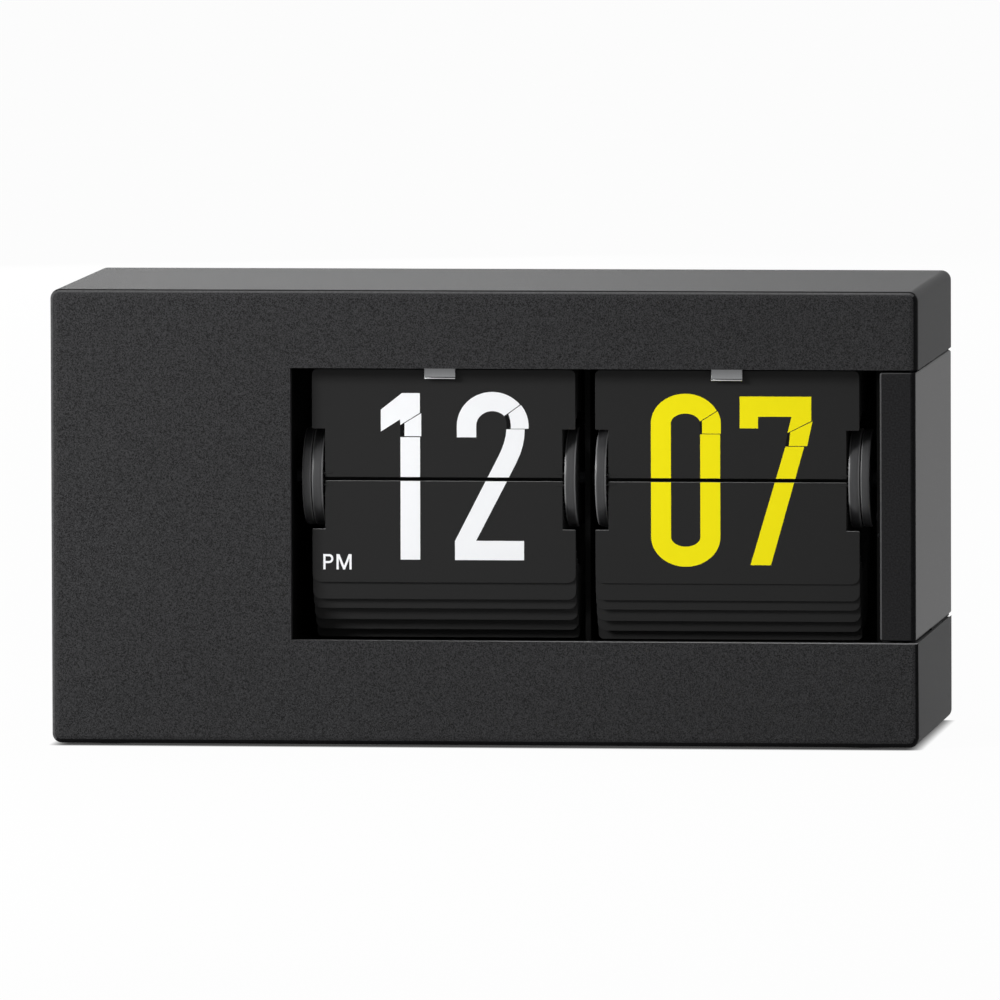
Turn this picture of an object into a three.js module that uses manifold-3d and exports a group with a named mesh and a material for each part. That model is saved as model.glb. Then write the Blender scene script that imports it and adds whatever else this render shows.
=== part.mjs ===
// Flip clock with two flap drums in a C-shaped case. Millimetres, +X right, +Y back, +Z up.
import * as THREE from "three";
import { mergeVertices } from "three/addons/utils/BufferGeometryUtils.js";
import Module from "manifold-3d";

const wasm = await Module();
wasm.setup();

// Driving dimensions of the case
const caseWidth = 200;
const caseDepth = 85;
const caseHeight = 104.5;
const caseWall = 2.4;
const caseCornerRadius = 2.2;
const caseEdgeRound = 0.8;
const footStand = 0.5;

const halfWidth = caseWidth / 2;
const halfDepth = caseDepth / 2;
const innerRight = halfWidth - caseWall;

// The window in the front wall and the end block that closes it
const leftBlockWide = 55.6;
const bottomArmTall = 24.1;
const topArmTall = 17.9;
const windowLeft = leftBlockWide - halfWidth;
const windowBottom = bottomArmTall;
const windowTop = caseHeight - topArmTall;
const windowBreak = 0.35;
const blockWide = 8.75;
const blockLeft = halfWidth - blockWide;
const blockGap = 0.6;
const blockInset = 0.6;
const blockRight = halfWidth - blockInset;
const blockWall = 2.2;
const blockFrontThick = 14;
const blockCornerRadius = 0.5;
const blockEdgeRound = 0.4;
const ledgeGap = 0.1;

// Flap drums
const axleDepth = 15.3;
const axleRiseShare = 0.5888;
const axleHeight = windowBottom + axleRiseShare * (windowTop - windowBottom);
const pinCircle = 10.4;
const hourSideRoom = 4.4;
const minuteSideRoom = 5.1;
const middleRoom = 4.55;
const flapWidth = (blockLeft - windowLeft - hourSideRoom - minuteSideRoom - middleRoom) / 2;
const flapThick = 0.3;
const flapCorner = 1.2;
const tipGap = 0.5;
const flapTip = windowTop - tipGap - axleHeight;
const hingeGap = 0.96;
const rearRootLap = 0.4;
const notchWidth = 3.0;
const notchReach = 11.5;
const pinRadius = 0.25;
const pinHoleRadius = 0.55;
const pinBury = 1.6;
const pinEnter = 0.9;
const discRadius = 11.45;
const discThick = 2.5;
const discEdgeBreak = 0.3;
const outerDiscRadius = 11.2;
const outerDiscThick = 2;
const outerDiscGap = 0.25;
const outerBossRadius = 5;
const hubRadius = 4.2;
const axleRadius = 2;
const axleClearance = 0.3;
const rootRingDepth = 1.1;
const rootRingProud = 0.05;
const rootRingWide = 1.2;
const hourCentre = windowLeft + hourSideRoom + flapWidth / 2;
const minuteCentre = blockLeft - minuteSideRoom - flapWidth / 2;
const hourLeaves = 24;
const minuteLeaves = 30;
// How far below the hinge line each hanging flap reaches, as shares of the top flap's reach
const stackReachShares = [0.944, 1.099, 1.187, 1.294, 1.389, 1.468];
const freeStackFlaps = 4;

// Frame plates, rods and catches
const plateThick = 1.2;
const leftPlateBack = 1.4;
const leftPlateX = windowLeft - leftPlateBack;
const midPlateStandOff = 1.7;
const midPlateX = hourCentre + flapWidth / 2 + midPlateStandOff;
const rightPlateX = blockLeft - plateThick;
const gearRoom = 15.3;
const gearPlateX = windowLeft - gearRoom;
const plateFrontDepth = 5.6;
const midPlateFrontDepth = 9.5;
const plateTopDrop = 8.5;
const plateTopHeight = caseHeight - plateTopDrop;
const plateCorner = 4;
const rodRadius = 1.8;
const catchBarDepth = 5.1;
const catchBarRise = 2.8;
const catchBarBottom = windowTop + catchBarRise;
const catchBarTall = 4.6;
const catchBarThick = 1.2;
const catchShelf = 4.1;
const plateLift = 0.1;
const catchWidth = 7.3;
const catchSheet = 0.4;
const catchTipDrop = 2.5;
const catchTipHeight = windowTop - catchTipDrop;
const catchLap = 3.2;
const hourCatchShift = -0.5;
const hourCatchX = hourCentre + hourCatchShift;
const minuteCatchShift = 0.1;
const minuteCatchX = minuteCentre + minuteCatchShift;

// Gear train in the left block
const gearModule = 1.2;
const driveTeeth = 19;
const wheelTeeth = 13;
const pinionTeeth = 8;
const leastGearSpread = 0.15;
const gearSetBack = 8.6;
const gearLeft = windowLeft - gearSetBack;
const gearThick = 3;
const gearWebThick = 1.6;
const gearHubRadius = 4;
const gearRimWide = 2.4;
const shaftRadius = 1.5;
const thumbRadius = 14.2;
const thumbSetBack = 13.7;
const thumbLeft = windowLeft - thumbSetBack;
const thumbThick = 4.6;
const clutchRadius = 10;
const clutchThick = 3;
const clutchGap = 1.6;
const thumbRidges = 24;
const thumbRidgeDepth = 0.5;

// Motor and its gearbox
const motorWallGap = 3.1;
const motorLength = 10.5;
const motorLeft = motorWallGap - innerRight;
const gearboxLeft = motorLeft + motorLength;
const gearboxAhead = 13.85;
const gearboxBehind = 22.15;
const gearboxBelow = 13.95;
const gearboxAbove = 20.05;
const gearboxCorner = 4;
const gearboxRibCount = 2;
const gearboxRibWide = 1.2;
const gearboxRibTall = 1;
const motorRadius = 10;
const motorBreak = 1.2;
const motorTerminalWide = 2.4;
const motorTerminalTall = 4;

// Rear cover, battery bay and door
const coverThick = 2.2;
const coverInset = 2;
const coverOuter = caseDepth - coverInset;
const coverInner = coverOuter - coverThick;
const coverGap = 0.3;
const slotMargin = 0.9;
const doorRightInset = 22;
const doorWide = 60;
const doorRight = halfWidth - doorRightInset;
const doorLeft = doorRight - doorWide;
const doorBottom = 18;
const doorTop = 54;
const doorThick = 1.5;
const doorTravel = 12;
const doorGap = 0.3;
const doorChannelLift = 0.6;
const doorGripRibs = 5;
const doorGripRibWide = 1;
const doorGripRibStep = 2.2;
const doorGripRibDepth = 0.5;
const doorGripHalf = 9;
const bayMargin = 3;
const bayDepth = 17;
const bayWall = 1.4;
const cellRadius = 7.1;
const cellLength = 49.2;
const cellNubRadius = 2.7;
const cellNubLength = 1.2;
const cellFilm = 0.5;
const contactThick = 0.4;
const contactMargin = 1.2;
const ventCount = 6;
const ventWide = 1.6;
const ventTall = 22;
const ventStep = 4.2;
const ventShift = 5.75;
const ventX = (thumbLeft + thumbThick + doorLeft) / 2 + ventShift;
const ventDrop = 30.5;
const ventHeight = caseHeight - ventDrop;

// Screw bosses and feet
const bossRadius = 3.4;
const bossHole = 1.3;
const bossInset = 5.2;
const bossLength = 20;
const bossHoleLength = 12;
const screwHole = 1.7;
const footRadius = 6;
const footThick = 1.5;
const footRecessGap = 0.3;
const footInset = 13;
const footBreak = 0.3;

// The frame plates end short of the bosses and the cover, and the rods stand between them
const plateBossGap = 0.8;
const plateRearDepth = coverInner - bossLength - plateBossGap;
const plateCoverGap = 0.8;
const gearPlateRearDepth = coverInner - plateCoverGap;
const rodTopInset = 12;
const rodTopDrop = 14.5;
const rodMiddleInset = 4.3;
const rodMiddleDrop = 10.9;
const rodLowInset = 20;
const rodLowHeight = 12;
const rodSpots = [
  { name: "tie_rod_top", depth: plateRearDepth - rodTopInset, height: caseHeight - rodTopDrop },
  { name: "tie_rod_middle", depth: plateRearDepth - rodMiddleInset, height: axleHeight - rodMiddleDrop },
  { name: "tie_rod_low", depth: plateRearDepth - rodLowInset, height: rodLowHeight },
];

// Segments round the turned pieces
const discSegments = 26;
const webSegments = 14;
const holeSegments = 6;
const flapCornerSteps = 2;
const shaftSegments = 10;

const reachOver = 1;
const full = Math.PI * 2;

// A three.js geometry as a manifold solid
function solidOf(geometry) {
  const plain = geometry.index ? geometry.toNonIndexed() : geometry;
  const bare = new THREE.BufferGeometry();
  bare.setAttribute("position", plain.getAttribute("position"));
  const merged = mergeVertices(bare, 1e-4);
  return new wasm.Manifold(
    new wasm.Mesh({
      numProp: 3,
      vertProperties: merged.attributes.position.array,
      triVerts: new Uint32Array(merged.index.array),
    }),
  );
}

const join = (first, ...others) => others.reduce((sum, one) => sum.add(one), first);
const cut = (first, ...others) => others.reduce((rest, one) => rest.subtract(one), first);

// Depth is measured back from the front face, so every builder below takes depths
const toY = (depth) => depth - halfDepth;

function box(x, depth, z) {
  const geometry = new THREE.BoxGeometry(x[1] - x[0], depth[1] - depth[0], z[1] - z[0]);
  geometry.translate((x[0] + x[1]) / 2, toY((depth[0] + depth[1]) / 2), (z[0] + z[1]) / 2);
  return solidOf(geometry);
}

function roundedRect(low, high, radius) {
  const shape = new THREE.Shape();
  shape.moveTo(low[0] + radius, low[1]);
  shape.lineTo(high[0] - radius, low[1]);
  shape.absarc(high[0] - radius, low[1] + radius, radius, -Math.PI / 2, 0);
  shape.lineTo(high[0], high[1] - radius);
  shape.absarc(high[0] - radius, high[1] - radius, radius, 0, Math.PI / 2);
  shape.lineTo(low[0] + radius, high[1]);
  shape.absarc(low[0] + radius, high[1] - radius, radius, Math.PI / 2, Math.PI);
  shape.lineTo(low[0], low[1] + radius);
  shape.absarc(low[0] + radius, low[1] + radius, radius, Math.PI, Math.PI * 1.5);
  return shape;
}

// An outline in X and Z, run from one depth to another, with an optional rounded edge
function alongDepth(shape, depth, edge = 0, curveSegments = 2) {
  const geometry = new THREE.ExtrudeGeometry(shape, {
    depth: depth[1] - depth[0] - 2 * edge,
    curveSegments,
    bevelEnabled: edge > 0,
    bevelThickness: edge,
    bevelSize: edge,
    bevelOffset: -edge,
    bevelSegments: 3,
  });
  const x = new THREE.Vector3(1, 0, 0);
  const z = new THREE.Vector3(0, 0, 1);
  const back = new THREE.Vector3(0, -1, 0);
  geometry.applyMatrix4(new THREE.Matrix4().makeBasis(x, z, back));
  geometry.translate(0, toY(depth[1] - edge), 0);
  return solidOf(geometry);
}

// An outline in depth and Z, run along X
function alongX(shape, x, curveSegments = 2) {
  const geometry = new THREE.ExtrudeGeometry(shape, {
    depth: x[1] - x[0],
    curveSegments,
    bevelEnabled: false,
  });
  const y = new THREE.Vector3(0, 1, 0);
  const z = new THREE.Vector3(0, 0, 1);
  const right = new THREE.Vector3(1, 0, 0);
  geometry.applyMatrix4(new THREE.Matrix4().makeBasis(y, z, right));
  geometry.translate(x[0], toY(0), 0);
  return solidOf(geometry);
}

// A turned solid about an axis along X: profile points are [radius, x]
function turnedX(points, depth, z, segments = 40) {
  const profile = points.map(([radius, x]) => new THREE.Vector2(radius, x));
  const geometry = new THREE.LatheGeometry(profile, segments);
  geometry.rotateZ(-Math.PI / 2);
  geometry.translate(0, toY(depth), z);
  const made = solidOf(geometry);
  return made;
}

const rodX = (radius, x, depth, z, segments = 20) =>
  turnedX(
    [
      [0, x[0]],
      [radius, x[0]],
      [radius, x[1]],
      [0, x[1]],
    ],
    depth,
    z,
    segments,
  );

function rodDepth(radius, x, depth, z, segments = 20) {
  const geometry = new THREE.CylinderGeometry(radius, radius, depth[1] - depth[0], segments);
  geometry.translate(x, toY((depth[0] + depth[1]) / 2), z);
  return solidOf(geometry);
}

// The case shell
const shellOutline = roundedRect([-halfWidth, 0], [halfWidth, caseHeight], caseCornerRadius);
const shellInside = box(
  [-innerRight, innerRight],
  [caseWall, caseDepth + reachOver],
  [caseWall, caseHeight - caseWall],
);

// A window cutter whose front edge flares by the width of the broken edge
function windowCutter() {
  const x = [windowLeft, halfWidth + reachOver];
  const z = [windowBottom, windowTop];
  const straight = box(x, [-reachOver, caseWall + reachOver], z);
  const flare = new THREE.BoxGeometry(1, 1, 1);
  const spots = flare.attributes.position;
  for (let i = 0; i < spots.count; i += 1) {
    const front = spots.getY(i) < 0;
    const grow = front ? windowBreak * 2 : 0;
    const left = spots.getX(i) < 0;
    const low = spots.getZ(i) < 0;
    const px = left ? x[0] - grow : x[1] + grow;
    const pz = low ? z[0] - grow : z[1] + grow;
    spots.setXYZ(i, px, toY(front ? -windowBreak : windowBreak), pz);
  }
  return join(straight, solidOf(flare));
}

function bossAt(x, z) {
  return rodDepth(bossRadius, x, [coverInner - bossLength, coverInner], z, shaftSegments);
}

const bossSpots = [
  [-innerRight + bossInset, caseWall + bossInset],
  [innerRight - bossInset, caseWall + bossInset],
  [-innerRight + bossInset, caseHeight - caseWall - bossInset],
  [innerRight - bossInset, caseHeight - caseWall - bossInset],
];

// A gusset ties each boss to the side wall and to the floor or roof
function gussetAt(x, z) {
  const side = Math.sign(x) * (innerRight + caseWall / 2);
  const level = z > caseHeight / 2 ? caseHeight - caseWall / 2 : caseWall / 2;
  const depths = [coverInner - bossLength, coverInner];
  const flat = box([Math.min(x, side), Math.max(x, side)], depths, [z - bossHole, z + bossHole]);
  const upright = box([x - bossHole, x + bossHole], depths, [Math.min(z, level), Math.max(z, level)]);
  return join(flat, upright);
}

const footSpots = [-1, 1].flatMap((sx) =>
  [-1, 1].map((sy) => ({
    name: (sy < 0 ? "foot_front_" : "foot_rear_") + (sx < 0 ? "left" : "right"),
    x: sx * (halfWidth - footInset),
    depth: halfDepth + sy * (halfDepth - footInset),
  })),
);

function upright(radius, x, depth, z, segments) {
  const geometry = new THREE.CylinderGeometry(radius, radius, z[1] - z[0], segments);
  geometry.rotateX(Math.PI / 2);
  geometry.translate(x, toY(depth), (z[0] + z[1]) / 2);
  return solidOf(geometry);
}

function caseShell() {
  let shell = alongDepth(shellOutline, [0, caseDepth], caseEdgeRound, 3).subtract(shellInside);
  const ledges = [
    [windowBottom - caseWall, windowBottom],
    [windowTop, windowTop + caseWall],
  ].map((z) => box([blockLeft + ledgeGap, innerRight + caseWall / 2], [caseWall / 2, coverInner], z));
  for (const [x, z] of bossSpots) {
    ledges.push(bossAt(x, z), gussetAt(x, z));
  }
  shell = join(shell, ...ledges);
  const cutters = [windowCutter()];
  cutters.push(
    box([innerRight - reachOver, halfWidth + reachOver], [-reachOver, caseDepth + reachOver], [
      windowBottom,
      windowTop,
    ]),
  );
  for (const [x, z] of bossSpots) {
    cutters.push(rodDepth(bossHole, x, [coverInner - bossHoleLength, caseDepth], z, holeSegments));
  }
  for (const foot of footSpots) {
    const lift = footThick - footStand;
    const recess = footRadius + footRecessGap;
    cutters.push(upright(recess, foot.x, foot.depth, [-reachOver, lift], discSegments / 2));
  }
  return cut(shell, ...cutters);
}

function endBlock() {
  const z = [windowBottom + blockGap, windowTop - blockGap];
  const outline = roundedRect([blockLeft, z[0]], [blockRight, z[1]], blockCornerRadius);
  const block = alongDepth(outline, [0, caseDepth], blockEdgeRound, 3);
  const pocket = box(
    [blockLeft - reachOver, blockRight - blockWall],
    [blockFrontThick, caseDepth - blockWall],
    [z[0] + blockWall, z[1] - blockWall],
  );
  const rib = box(
    [blockLeft, blockRight - blockWall / 2],
    [halfDepth, halfDepth + blockWall],
    [z[0] + blockWall / 2, z[1] - blockWall / 2],
  );
  return join(block.subtract(pocket), rib);
}

function foot(spot) {
  const profile = [
    [0, -footStand],
    [footRadius - footBreak, -footStand],
    [footRadius, footBreak - footStand],
    [footRadius, footThick - footStand],
    [0, footThick - footStand],
  ].map(([radius, z]) => new THREE.Vector2(radius, z));
  const geometry = new THREE.LatheGeometry(profile, discSegments / 2);
  geometry.rotateX(Math.PI / 2);
  geometry.translate(spot.x, toY(spot.depth), 0);
  return solidOf(geometry);
}

// Flaps. A flap is drawn with its pin at the origin and its tip up, then turned and placed.
function flapOutline(plan, length, lap, corner) {
  const half = flapWidth / 2;
  const neck = half - notchWidth;
  const shape = new THREE.Shape();
  shape.moveTo(-neck, -lap);
  shape.lineTo(neck, -lap);
  shape.lineTo(neck, plan.notch);
  shape.lineTo(half, plan.notch);
  if (corner > 0) {
    shape.lineTo(half, length - corner);
    shape.absarc(half - corner, length - corner, corner, 0, Math.PI / 2);
    shape.absarc(corner - half, length - corner, corner, Math.PI / 2, Math.PI);
  } else {
    shape.lineTo(half, length);
    shape.lineTo(-half, length);
  }
  shape.lineTo(-half, plan.notch);
  shape.lineTo(-neck, plan.notch);
  return shape;
}

// lean is the angle from upright, tipping back; the pin stands at an angle below the front
function placeFlap(solid, centre, pinAngle, lean) {
  const y = toY(axleDepth) - pinCircle * Math.cos(pinAngle);
  const z = axleHeight - pinCircle * Math.sin(pinAngle);
  const degrees = THREE.MathUtils.radToDeg(-lean);
  return solid.rotate([degrees, 0, 0]).translate([centre, y, z]);
}

function flapSolid(plan, length, lap, corner, pinned) {
  const geometry = new THREE.ExtrudeGeometry(flapOutline(plan, length, lap, corner), {
    depth: flapThick,
    curveSegments: flapCornerSteps,
    bevelEnabled: false,
  });
  geometry.rotateX(Math.PI / 2);
  geometry.translate(0, flapThick / 2, 0);
  let flap = solidOf(geometry);
  if (pinned) {
    const neck = flapWidth / 2 - notchWidth;
    const discFace = flapWidth / 2 - discThick;
    for (const side of [-1, 1]) {
      const pin = new THREE.CylinderGeometry(
        pinRadius,
        pinRadius,
        discFace + pinEnter - neck + pinBury,
        6,
      );
      pin.rotateZ(Math.PI / 2);
      pin.translate((side * (discFace + pinEnter + neck - pinBury)) / 2, 0, 0);
      flap = flap.add(solidOf(pin));
    }
  }
  return flap;
}

function drumPlan(centre, leaves) {
  const pitch = full / leaves;
  const pinRise = pinCircle * Math.sin(pitch / 2);
  const lap = pinRise - hingeGap / 2;
  return { centre, pitch, lap, notch: notchReach - pinRise, topLength: flapTip - pinRise };
}

// Pin angles below the front: the top flap at minus half a pitch, hanging flaps below it
const hangAngle = (plan, step) => plan.pitch * (step + 0.5);
const hangLength = (plan, step) =>
  stackReachShares[step] * flapTip - pinCircle * Math.sin(hangAngle(plan, step));

function topFlap(plan) {
  return placeFlap(
    flapSolid(plan, plan.topLength, plan.lap, flapCorner, true),
    plan.centre,
    -plan.pitch / 2,
    0,
  );
}

function nextFlap(plan) {
  const lap = Math.min(plan.lap, rearRootLap);
  return placeFlap(
    flapSolid(plan, plan.topLength, lap, flapCorner, true),
    plan.centre,
    -plan.pitch * 1.5,
    plan.pitch,
  );
}

function hangingFlap(plan, step) {
  const flap = flapSolid(plan, hangLength(plan, step), plan.lap, flapCorner, true);
  return placeFlap(flap, plan.centre, hangAngle(plan, step), Math.PI);
}

// The hidden flaps: a tangent fan over the top and down the back, then hanging ones underneath
function rearFlaps(plan) {
  const half = flapWidth / 2;
  const leaves = Math.round(full / plan.pitch);
  const firstStep = freeStackFlaps + 1;
  const flaps = [];
  for (let step = firstStep; step < leaves - 2; step += 1) {
    const angle = hangAngle(plan, step);
    const hangs = angle < Math.PI;
    const length = step === firstStep ? hangLength(plan, step) : plan.topLength;
    const lean = hangs ? Math.PI : full - angle - plan.pitch / 2;
    const corner = step === firstStep ? flapCorner : 0;
    const flap = flapSolid(plan, length, rearRootLap, corner, false);
    flaps.push(placeFlap(flap, plan.centre, angle, lean));
  }
  const first = hangAngle(plan, firstStep);
  const last = hangAngle(plan, leaves - 3);
  const steps = leaves - 3 - firstStep;
  for (const side of [-1, 1]) {
    const shape = new THREE.Shape();
    const outer = pinCircle + rootRingProud;
    const inner = pinCircle - rootRingDepth;
    const spot = (radius, angle) => [
      axleDepth - radius * Math.cos(angle),
      axleHeight - radius * Math.sin(angle),
    ];
    shape.moveTo(...spot(outer, first));
    for (let i = 1; i <= steps; i += 1) {
      shape.lineTo(...spot(outer, first + ((last - first) * i) / steps));
    }
    for (let i = steps; i >= 0; i -= 1) {
      shape.lineTo(...spot(inner, first + ((last - first) * i) / steps));
    }
    const faceX = half - discThick;
    const neckX = half - notchWidth - rootRingWide;
    const ends = side > 0 ? [neckX, faceX] : [-faceX, -neckX];
    flaps.push(alongX(shape, ends.map((x) => x + plan.centre)));
  }
  return join(...flaps);
}

function disc(plan, side) {
  const outer = flapWidth / 2;
  const inner = outer - discThick;
  const points = [
    [axleRadius + axleClearance, inner],
    [discRadius - discEdgeBreak, inner],
    [discRadius, inner + discEdgeBreak],
    [discRadius, outer - discEdgeBreak],
    [discRadius - discEdgeBreak, outer],
    [axleRadius + axleClearance, outer],
    [axleRadius + axleClearance, inner],
  ];
  const placed = points.map(([radius, x]) => [radius, plan.centre + side * x]);
  if (side < 0) {
    placed.reverse();
  }
  let made = turnedX(placed, axleDepth, axleHeight, discSegments);
  const steps = [-2, -1, ...Array(freeStackFlaps + 1).keys()];
  for (const step of steps) {
    const angle = hangAngle(plan, step);
    const ends = [inner, inner + pinEnter + axleClearance].map(
      (x) => plan.centre + side * x,
    );
    const hole = rodX(
      pinHoleRadius,
      side > 0 ? [ends[0] - reachOver, ends[1]] : [ends[1], ends[0] + reachOver],
      axleDepth - pinCircle * Math.cos(angle),
      axleHeight - pinCircle * Math.sin(angle),
      holeSegments,
    );
    made = made.subtract(hole);
  }
  return made;
}

function outerDisc(plan, side) {
  const near = flapWidth / 2;
  const start = near + outerDiscGap;
  const end = start + outerDiscThick;
  const points = [
    [axleRadius + axleClearance, near],
    [outerBossRadius, near],
    [outerBossRadius, start],
    [outerDiscRadius - discEdgeBreak, start],
    [outerDiscRadius, start + discEdgeBreak],
    [outerDiscRadius, end - discEdgeBreak],
    [outerDiscRadius - discEdgeBreak, end],
    [axleRadius + axleClearance, end],
    [axleRadius + axleClearance, near],
  ].map(([radius, x]) => [radius, plan.centre + side * x]);
  if (side < 0) {
    points.reverse();
  }
  return turnedX(points, axleDepth, axleHeight, discSegments);
}

function hub(plan) {
  const face = flapWidth / 2 - discThick;
  return turnedX(
    [
      [axleRadius + axleClearance, plan.centre - face],
      [hubRadius, plan.centre - face],
      [hubRadius, plan.centre + face],
      [axleRadius + axleClearance, plan.centre + face],
      [axleRadius + axleClearance, plan.centre - face],
    ],
    axleDepth,
    axleHeight,
    webSegments,
  );
}

// Spur gears along X, meshed at rest
function gearShape(teeth, spot, phase) {
  const radius = (gearModule * teeth) / 2;
  const rootShare = 1.2;
  const tipShare = 0.85;
  const root = radius - gearModule * rootShare;
  const tip = radius + gearModule * tipShare;
  const toothShares = [0.31, 0.12];
  const pitch = full / teeth;
  const shape = new THREE.Shape();
  for (let i = 0; i < teeth; i += 1) {
    const middle = phase + i * pitch;
    const corners = [
      [root, middle - toothShares[0] * pitch],
      [tip, middle - toothShares[1] * pitch],
      [tip, middle + toothShares[1] * pitch],
      [root, middle + toothShares[0] * pitch],
    ];
    corners.forEach(([r, angle], k) => {
      const point = [spot.depth + r * Math.cos(angle), spot.z + r * Math.sin(angle)];
      if (i + k === 0) {
        shape.moveTo(...point);
      } else {
        shape.lineTo(...point);
      }
    });
  }
  return shape;
}

const pitchRadius = (teeth) => (gearModule * teeth) / 2;

// The idler takes up the room between the axle and the wheel at the back of the case
const idlerRoom =
  caseDepth - thumbRadius - axleDepth - pitchRadius(driveTeeth) - pitchRadius(wheelTeeth);
const toothCountSlack = 0.01;
const idlerTeeth = Math.floor((idlerRoom - leastGearSpread * 2) / gearModule + toothCountSlack);
const gearSpread = (idlerRoom - pitchRadius(idlerTeeth) * 2) / 2;
const centreGap = (a, b) => pitchRadius(a) + pitchRadius(b) + gearSpread;
// Angles of the centre lines: the idler stands behind the axle, the wheel behind the idler
const lineToWheel = 0;
const lineToPinion = -Math.PI / 2;
const driveSpot = { depth: axleDepth, z: axleHeight };
const idlerSpot = { depth: axleDepth + centreGap(driveTeeth, idlerTeeth), z: axleHeight };
const wheelSpot = { depth: idlerSpot.depth + centreGap(idlerTeeth, wheelTeeth), z: axleHeight };
const pinionSpot = { depth: idlerSpot.depth, z: axleHeight - centreGap(idlerTeeth, pinionTeeth) };
const gearboxDepths = [pinionSpot.depth - gearboxAhead, pinionSpot.depth + gearboxBehind];
const gearboxHeights = [pinionSpot.z - gearboxBelow, pinionSpot.z + gearboxAbove];

// The phase of a driven gear so that a gap of it meets the driver's tooth on the centre line
function meshPhase(driverTeeth, driverPhase, line, teeth) {
  const pitch = full / driverTeeth;
  const turns = (driverPhase - line) / pitch;
  const offset = (turns - Math.round(turns)) * pitch;
  const arc = offset * pitchRadius(driverTeeth);
  return line + Math.PI - arc / pitchRadius(teeth) + Math.PI / teeth;
}

const drivePhase = 0;
const idlerPhase = meshPhase(driveTeeth, drivePhase, 0, idlerTeeth);
const wheelPhase = meshPhase(idlerTeeth, idlerPhase, lineToWheel, wheelTeeth);
const pinionPhase = meshPhase(idlerTeeth, idlerPhase, lineToPinion, pinionTeeth);

// A light gear: toothed rim, thinner web, hub, and a bore or its own shaft
function gear(teeth, spot, phase, bore) {
  const x = [gearLeft, gearLeft + gearThick];
  let made = alongX(gearShape(teeth, spot, phase), x);
  const rim = pitchRadius(teeth) - gearRimWide;
  const sink = (gearThick - gearWebThick) / 2;
  if (rim > gearHubRadius * 1.5) {
    for (const ends of [
      [x[0] - reachOver, x[0] + sink],
      [x[1] - sink, x[1] + reachOver],
    ]) {
      made = cut(
        made,
        turnedX(
          [
            [gearHubRadius, ends[0]],
            [rim, ends[0]],
            [rim, ends[1]],
            [gearHubRadius, ends[1]],
            [gearHubRadius, ends[0]],
          ],
          spot.depth,
          spot.z,
          webSegments,
        ),
      );
    }
  }
  if (bore > 0) {
    made = made.subtract(rodX(bore, [x[0] - reachOver, x[1] + reachOver], spot.depth, spot.z, shaftSegments));
  }
  return made;
}

const shaftEnds = [gearPlateX, leftPlateX + plateThick];

function idlerGear() {
  const shaft = rodX(shaftRadius, shaftEnds, idlerSpot.depth, idlerSpot.z, 16);
  return join(gear(idlerTeeth, idlerSpot, idlerPhase, 0), shaft);
}

function timeSetWheel() {
  const shaft = rodX(shaftRadius, shaftEnds, wheelSpot.depth, wheelSpot.z, 16);
  const shape = new THREE.Shape();
  const points = thumbRidges * 2;
  for (let i = 0; i < points; i += 1) {
    const radius = thumbRadius - (i % 2) * thumbRidgeDepth;
    const angle = (full * i) / points;
    const spot = [
      wheelSpot.depth + radius * Math.cos(angle),
      wheelSpot.z + radius * Math.sin(angle),
    ];
    if (i === 0) {
      shape.moveTo(...spot);
    } else {
      shape.lineTo(...spot);
    }
  }
  const rim = alongX(shape, [thumbLeft, thumbLeft + thumbThick]);
  const link = rodX(gearHubRadius, [thumbLeft, gearLeft + gearThick], wheelSpot.depth, wheelSpot.z, 20);
  return join(rim, link, gear(wheelTeeth, wheelSpot, wheelPhase, 0), shaft);
}

function motorPinion() {
  const shaft = rodX(
    shaftRadius,
    [gearPlateX - plateThick, gearLeft + gearThick],
    pinionSpot.depth,
    pinionSpot.z,
    16,
  );
  const clutch = rodX(
    clutchRadius,
    [gearLeft - clutchGap - clutchThick, gearLeft - clutchGap],
    pinionSpot.depth,
    pinionSpot.z,
    discSegments,
  );
  return join(gear(pinionTeeth, pinionSpot, pinionPhase, 0), shaft, clutch);
}

// Frame plates with rounded corners, holes for the shafts and rods, and lightening windows
function framePlate(x, frontDepth, rearDepth, holes) {
  const shape = roundedRect(
    [frontDepth, caseWall + plateLift],
    [rearDepth, plateTopHeight],
    plateCorner,
  );
  let plate = alongX(shape, [x, x + plateThick]);
  for (const hole of holes) {
    plate = plate.subtract(
      rodX(
        hole.radius,
        [x - reachOver, x + plateThick + reachOver],
        hole.depth,
        hole.z,
        shaftSegments,
      ),
    );
  }
  return plate;
}

const axleHole = { depth: axleDepth, z: axleHeight, radius: axleRadius + axleClearance };
const rodHoles = rodSpots.map((rod) => ({
  depth: rod.depth,
  z: rod.height,
  radius: rodRadius + axleClearance,
}));
const shaftHole = (spot) => ({ ...spot, radius: shaftRadius + axleClearance });

function tieRod(spot) {
  return rodX(rodRadius, [leftPlateX, rightPlateX + plateThick], spot.depth, spot.height, 16);
}

// The catch bar is an angle strip between the outer frame plates
function catchBar() {
  const x = [leftPlateX + plateThick, rightPlateX];
  const z = [catchBarBottom, catchBarBottom + catchBarTall];
  const face = box(x, [catchBarDepth - catchBarThick, catchBarDepth], z);
  const shelf = box(x, [catchBarDepth - catchBarThick, catchBarDepth + catchShelf], [
    z[1] - catchBarThick,
    z[1],
  ]);
  return join(face, shelf);
}

// A catch: a strip down the bar's front, a step back, and the tab in front of the top flap
function flapCatch(x) {
  const wide = [x - catchWidth / 2, x + catchWidth / 2];
  const face = catchBarDepth - catchBarThick;
  const strip = box(wide, [face - catchSheet, face], [catchTipHeight, catchBarBottom + catchLap]);
  const lip = box(wide, [face - catchSheet * 2, face - catchSheet / 2], [
    catchTipHeight,
    catchTipHeight + catchSheet,
  ]);
  return join(strip, lip);
}

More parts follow.
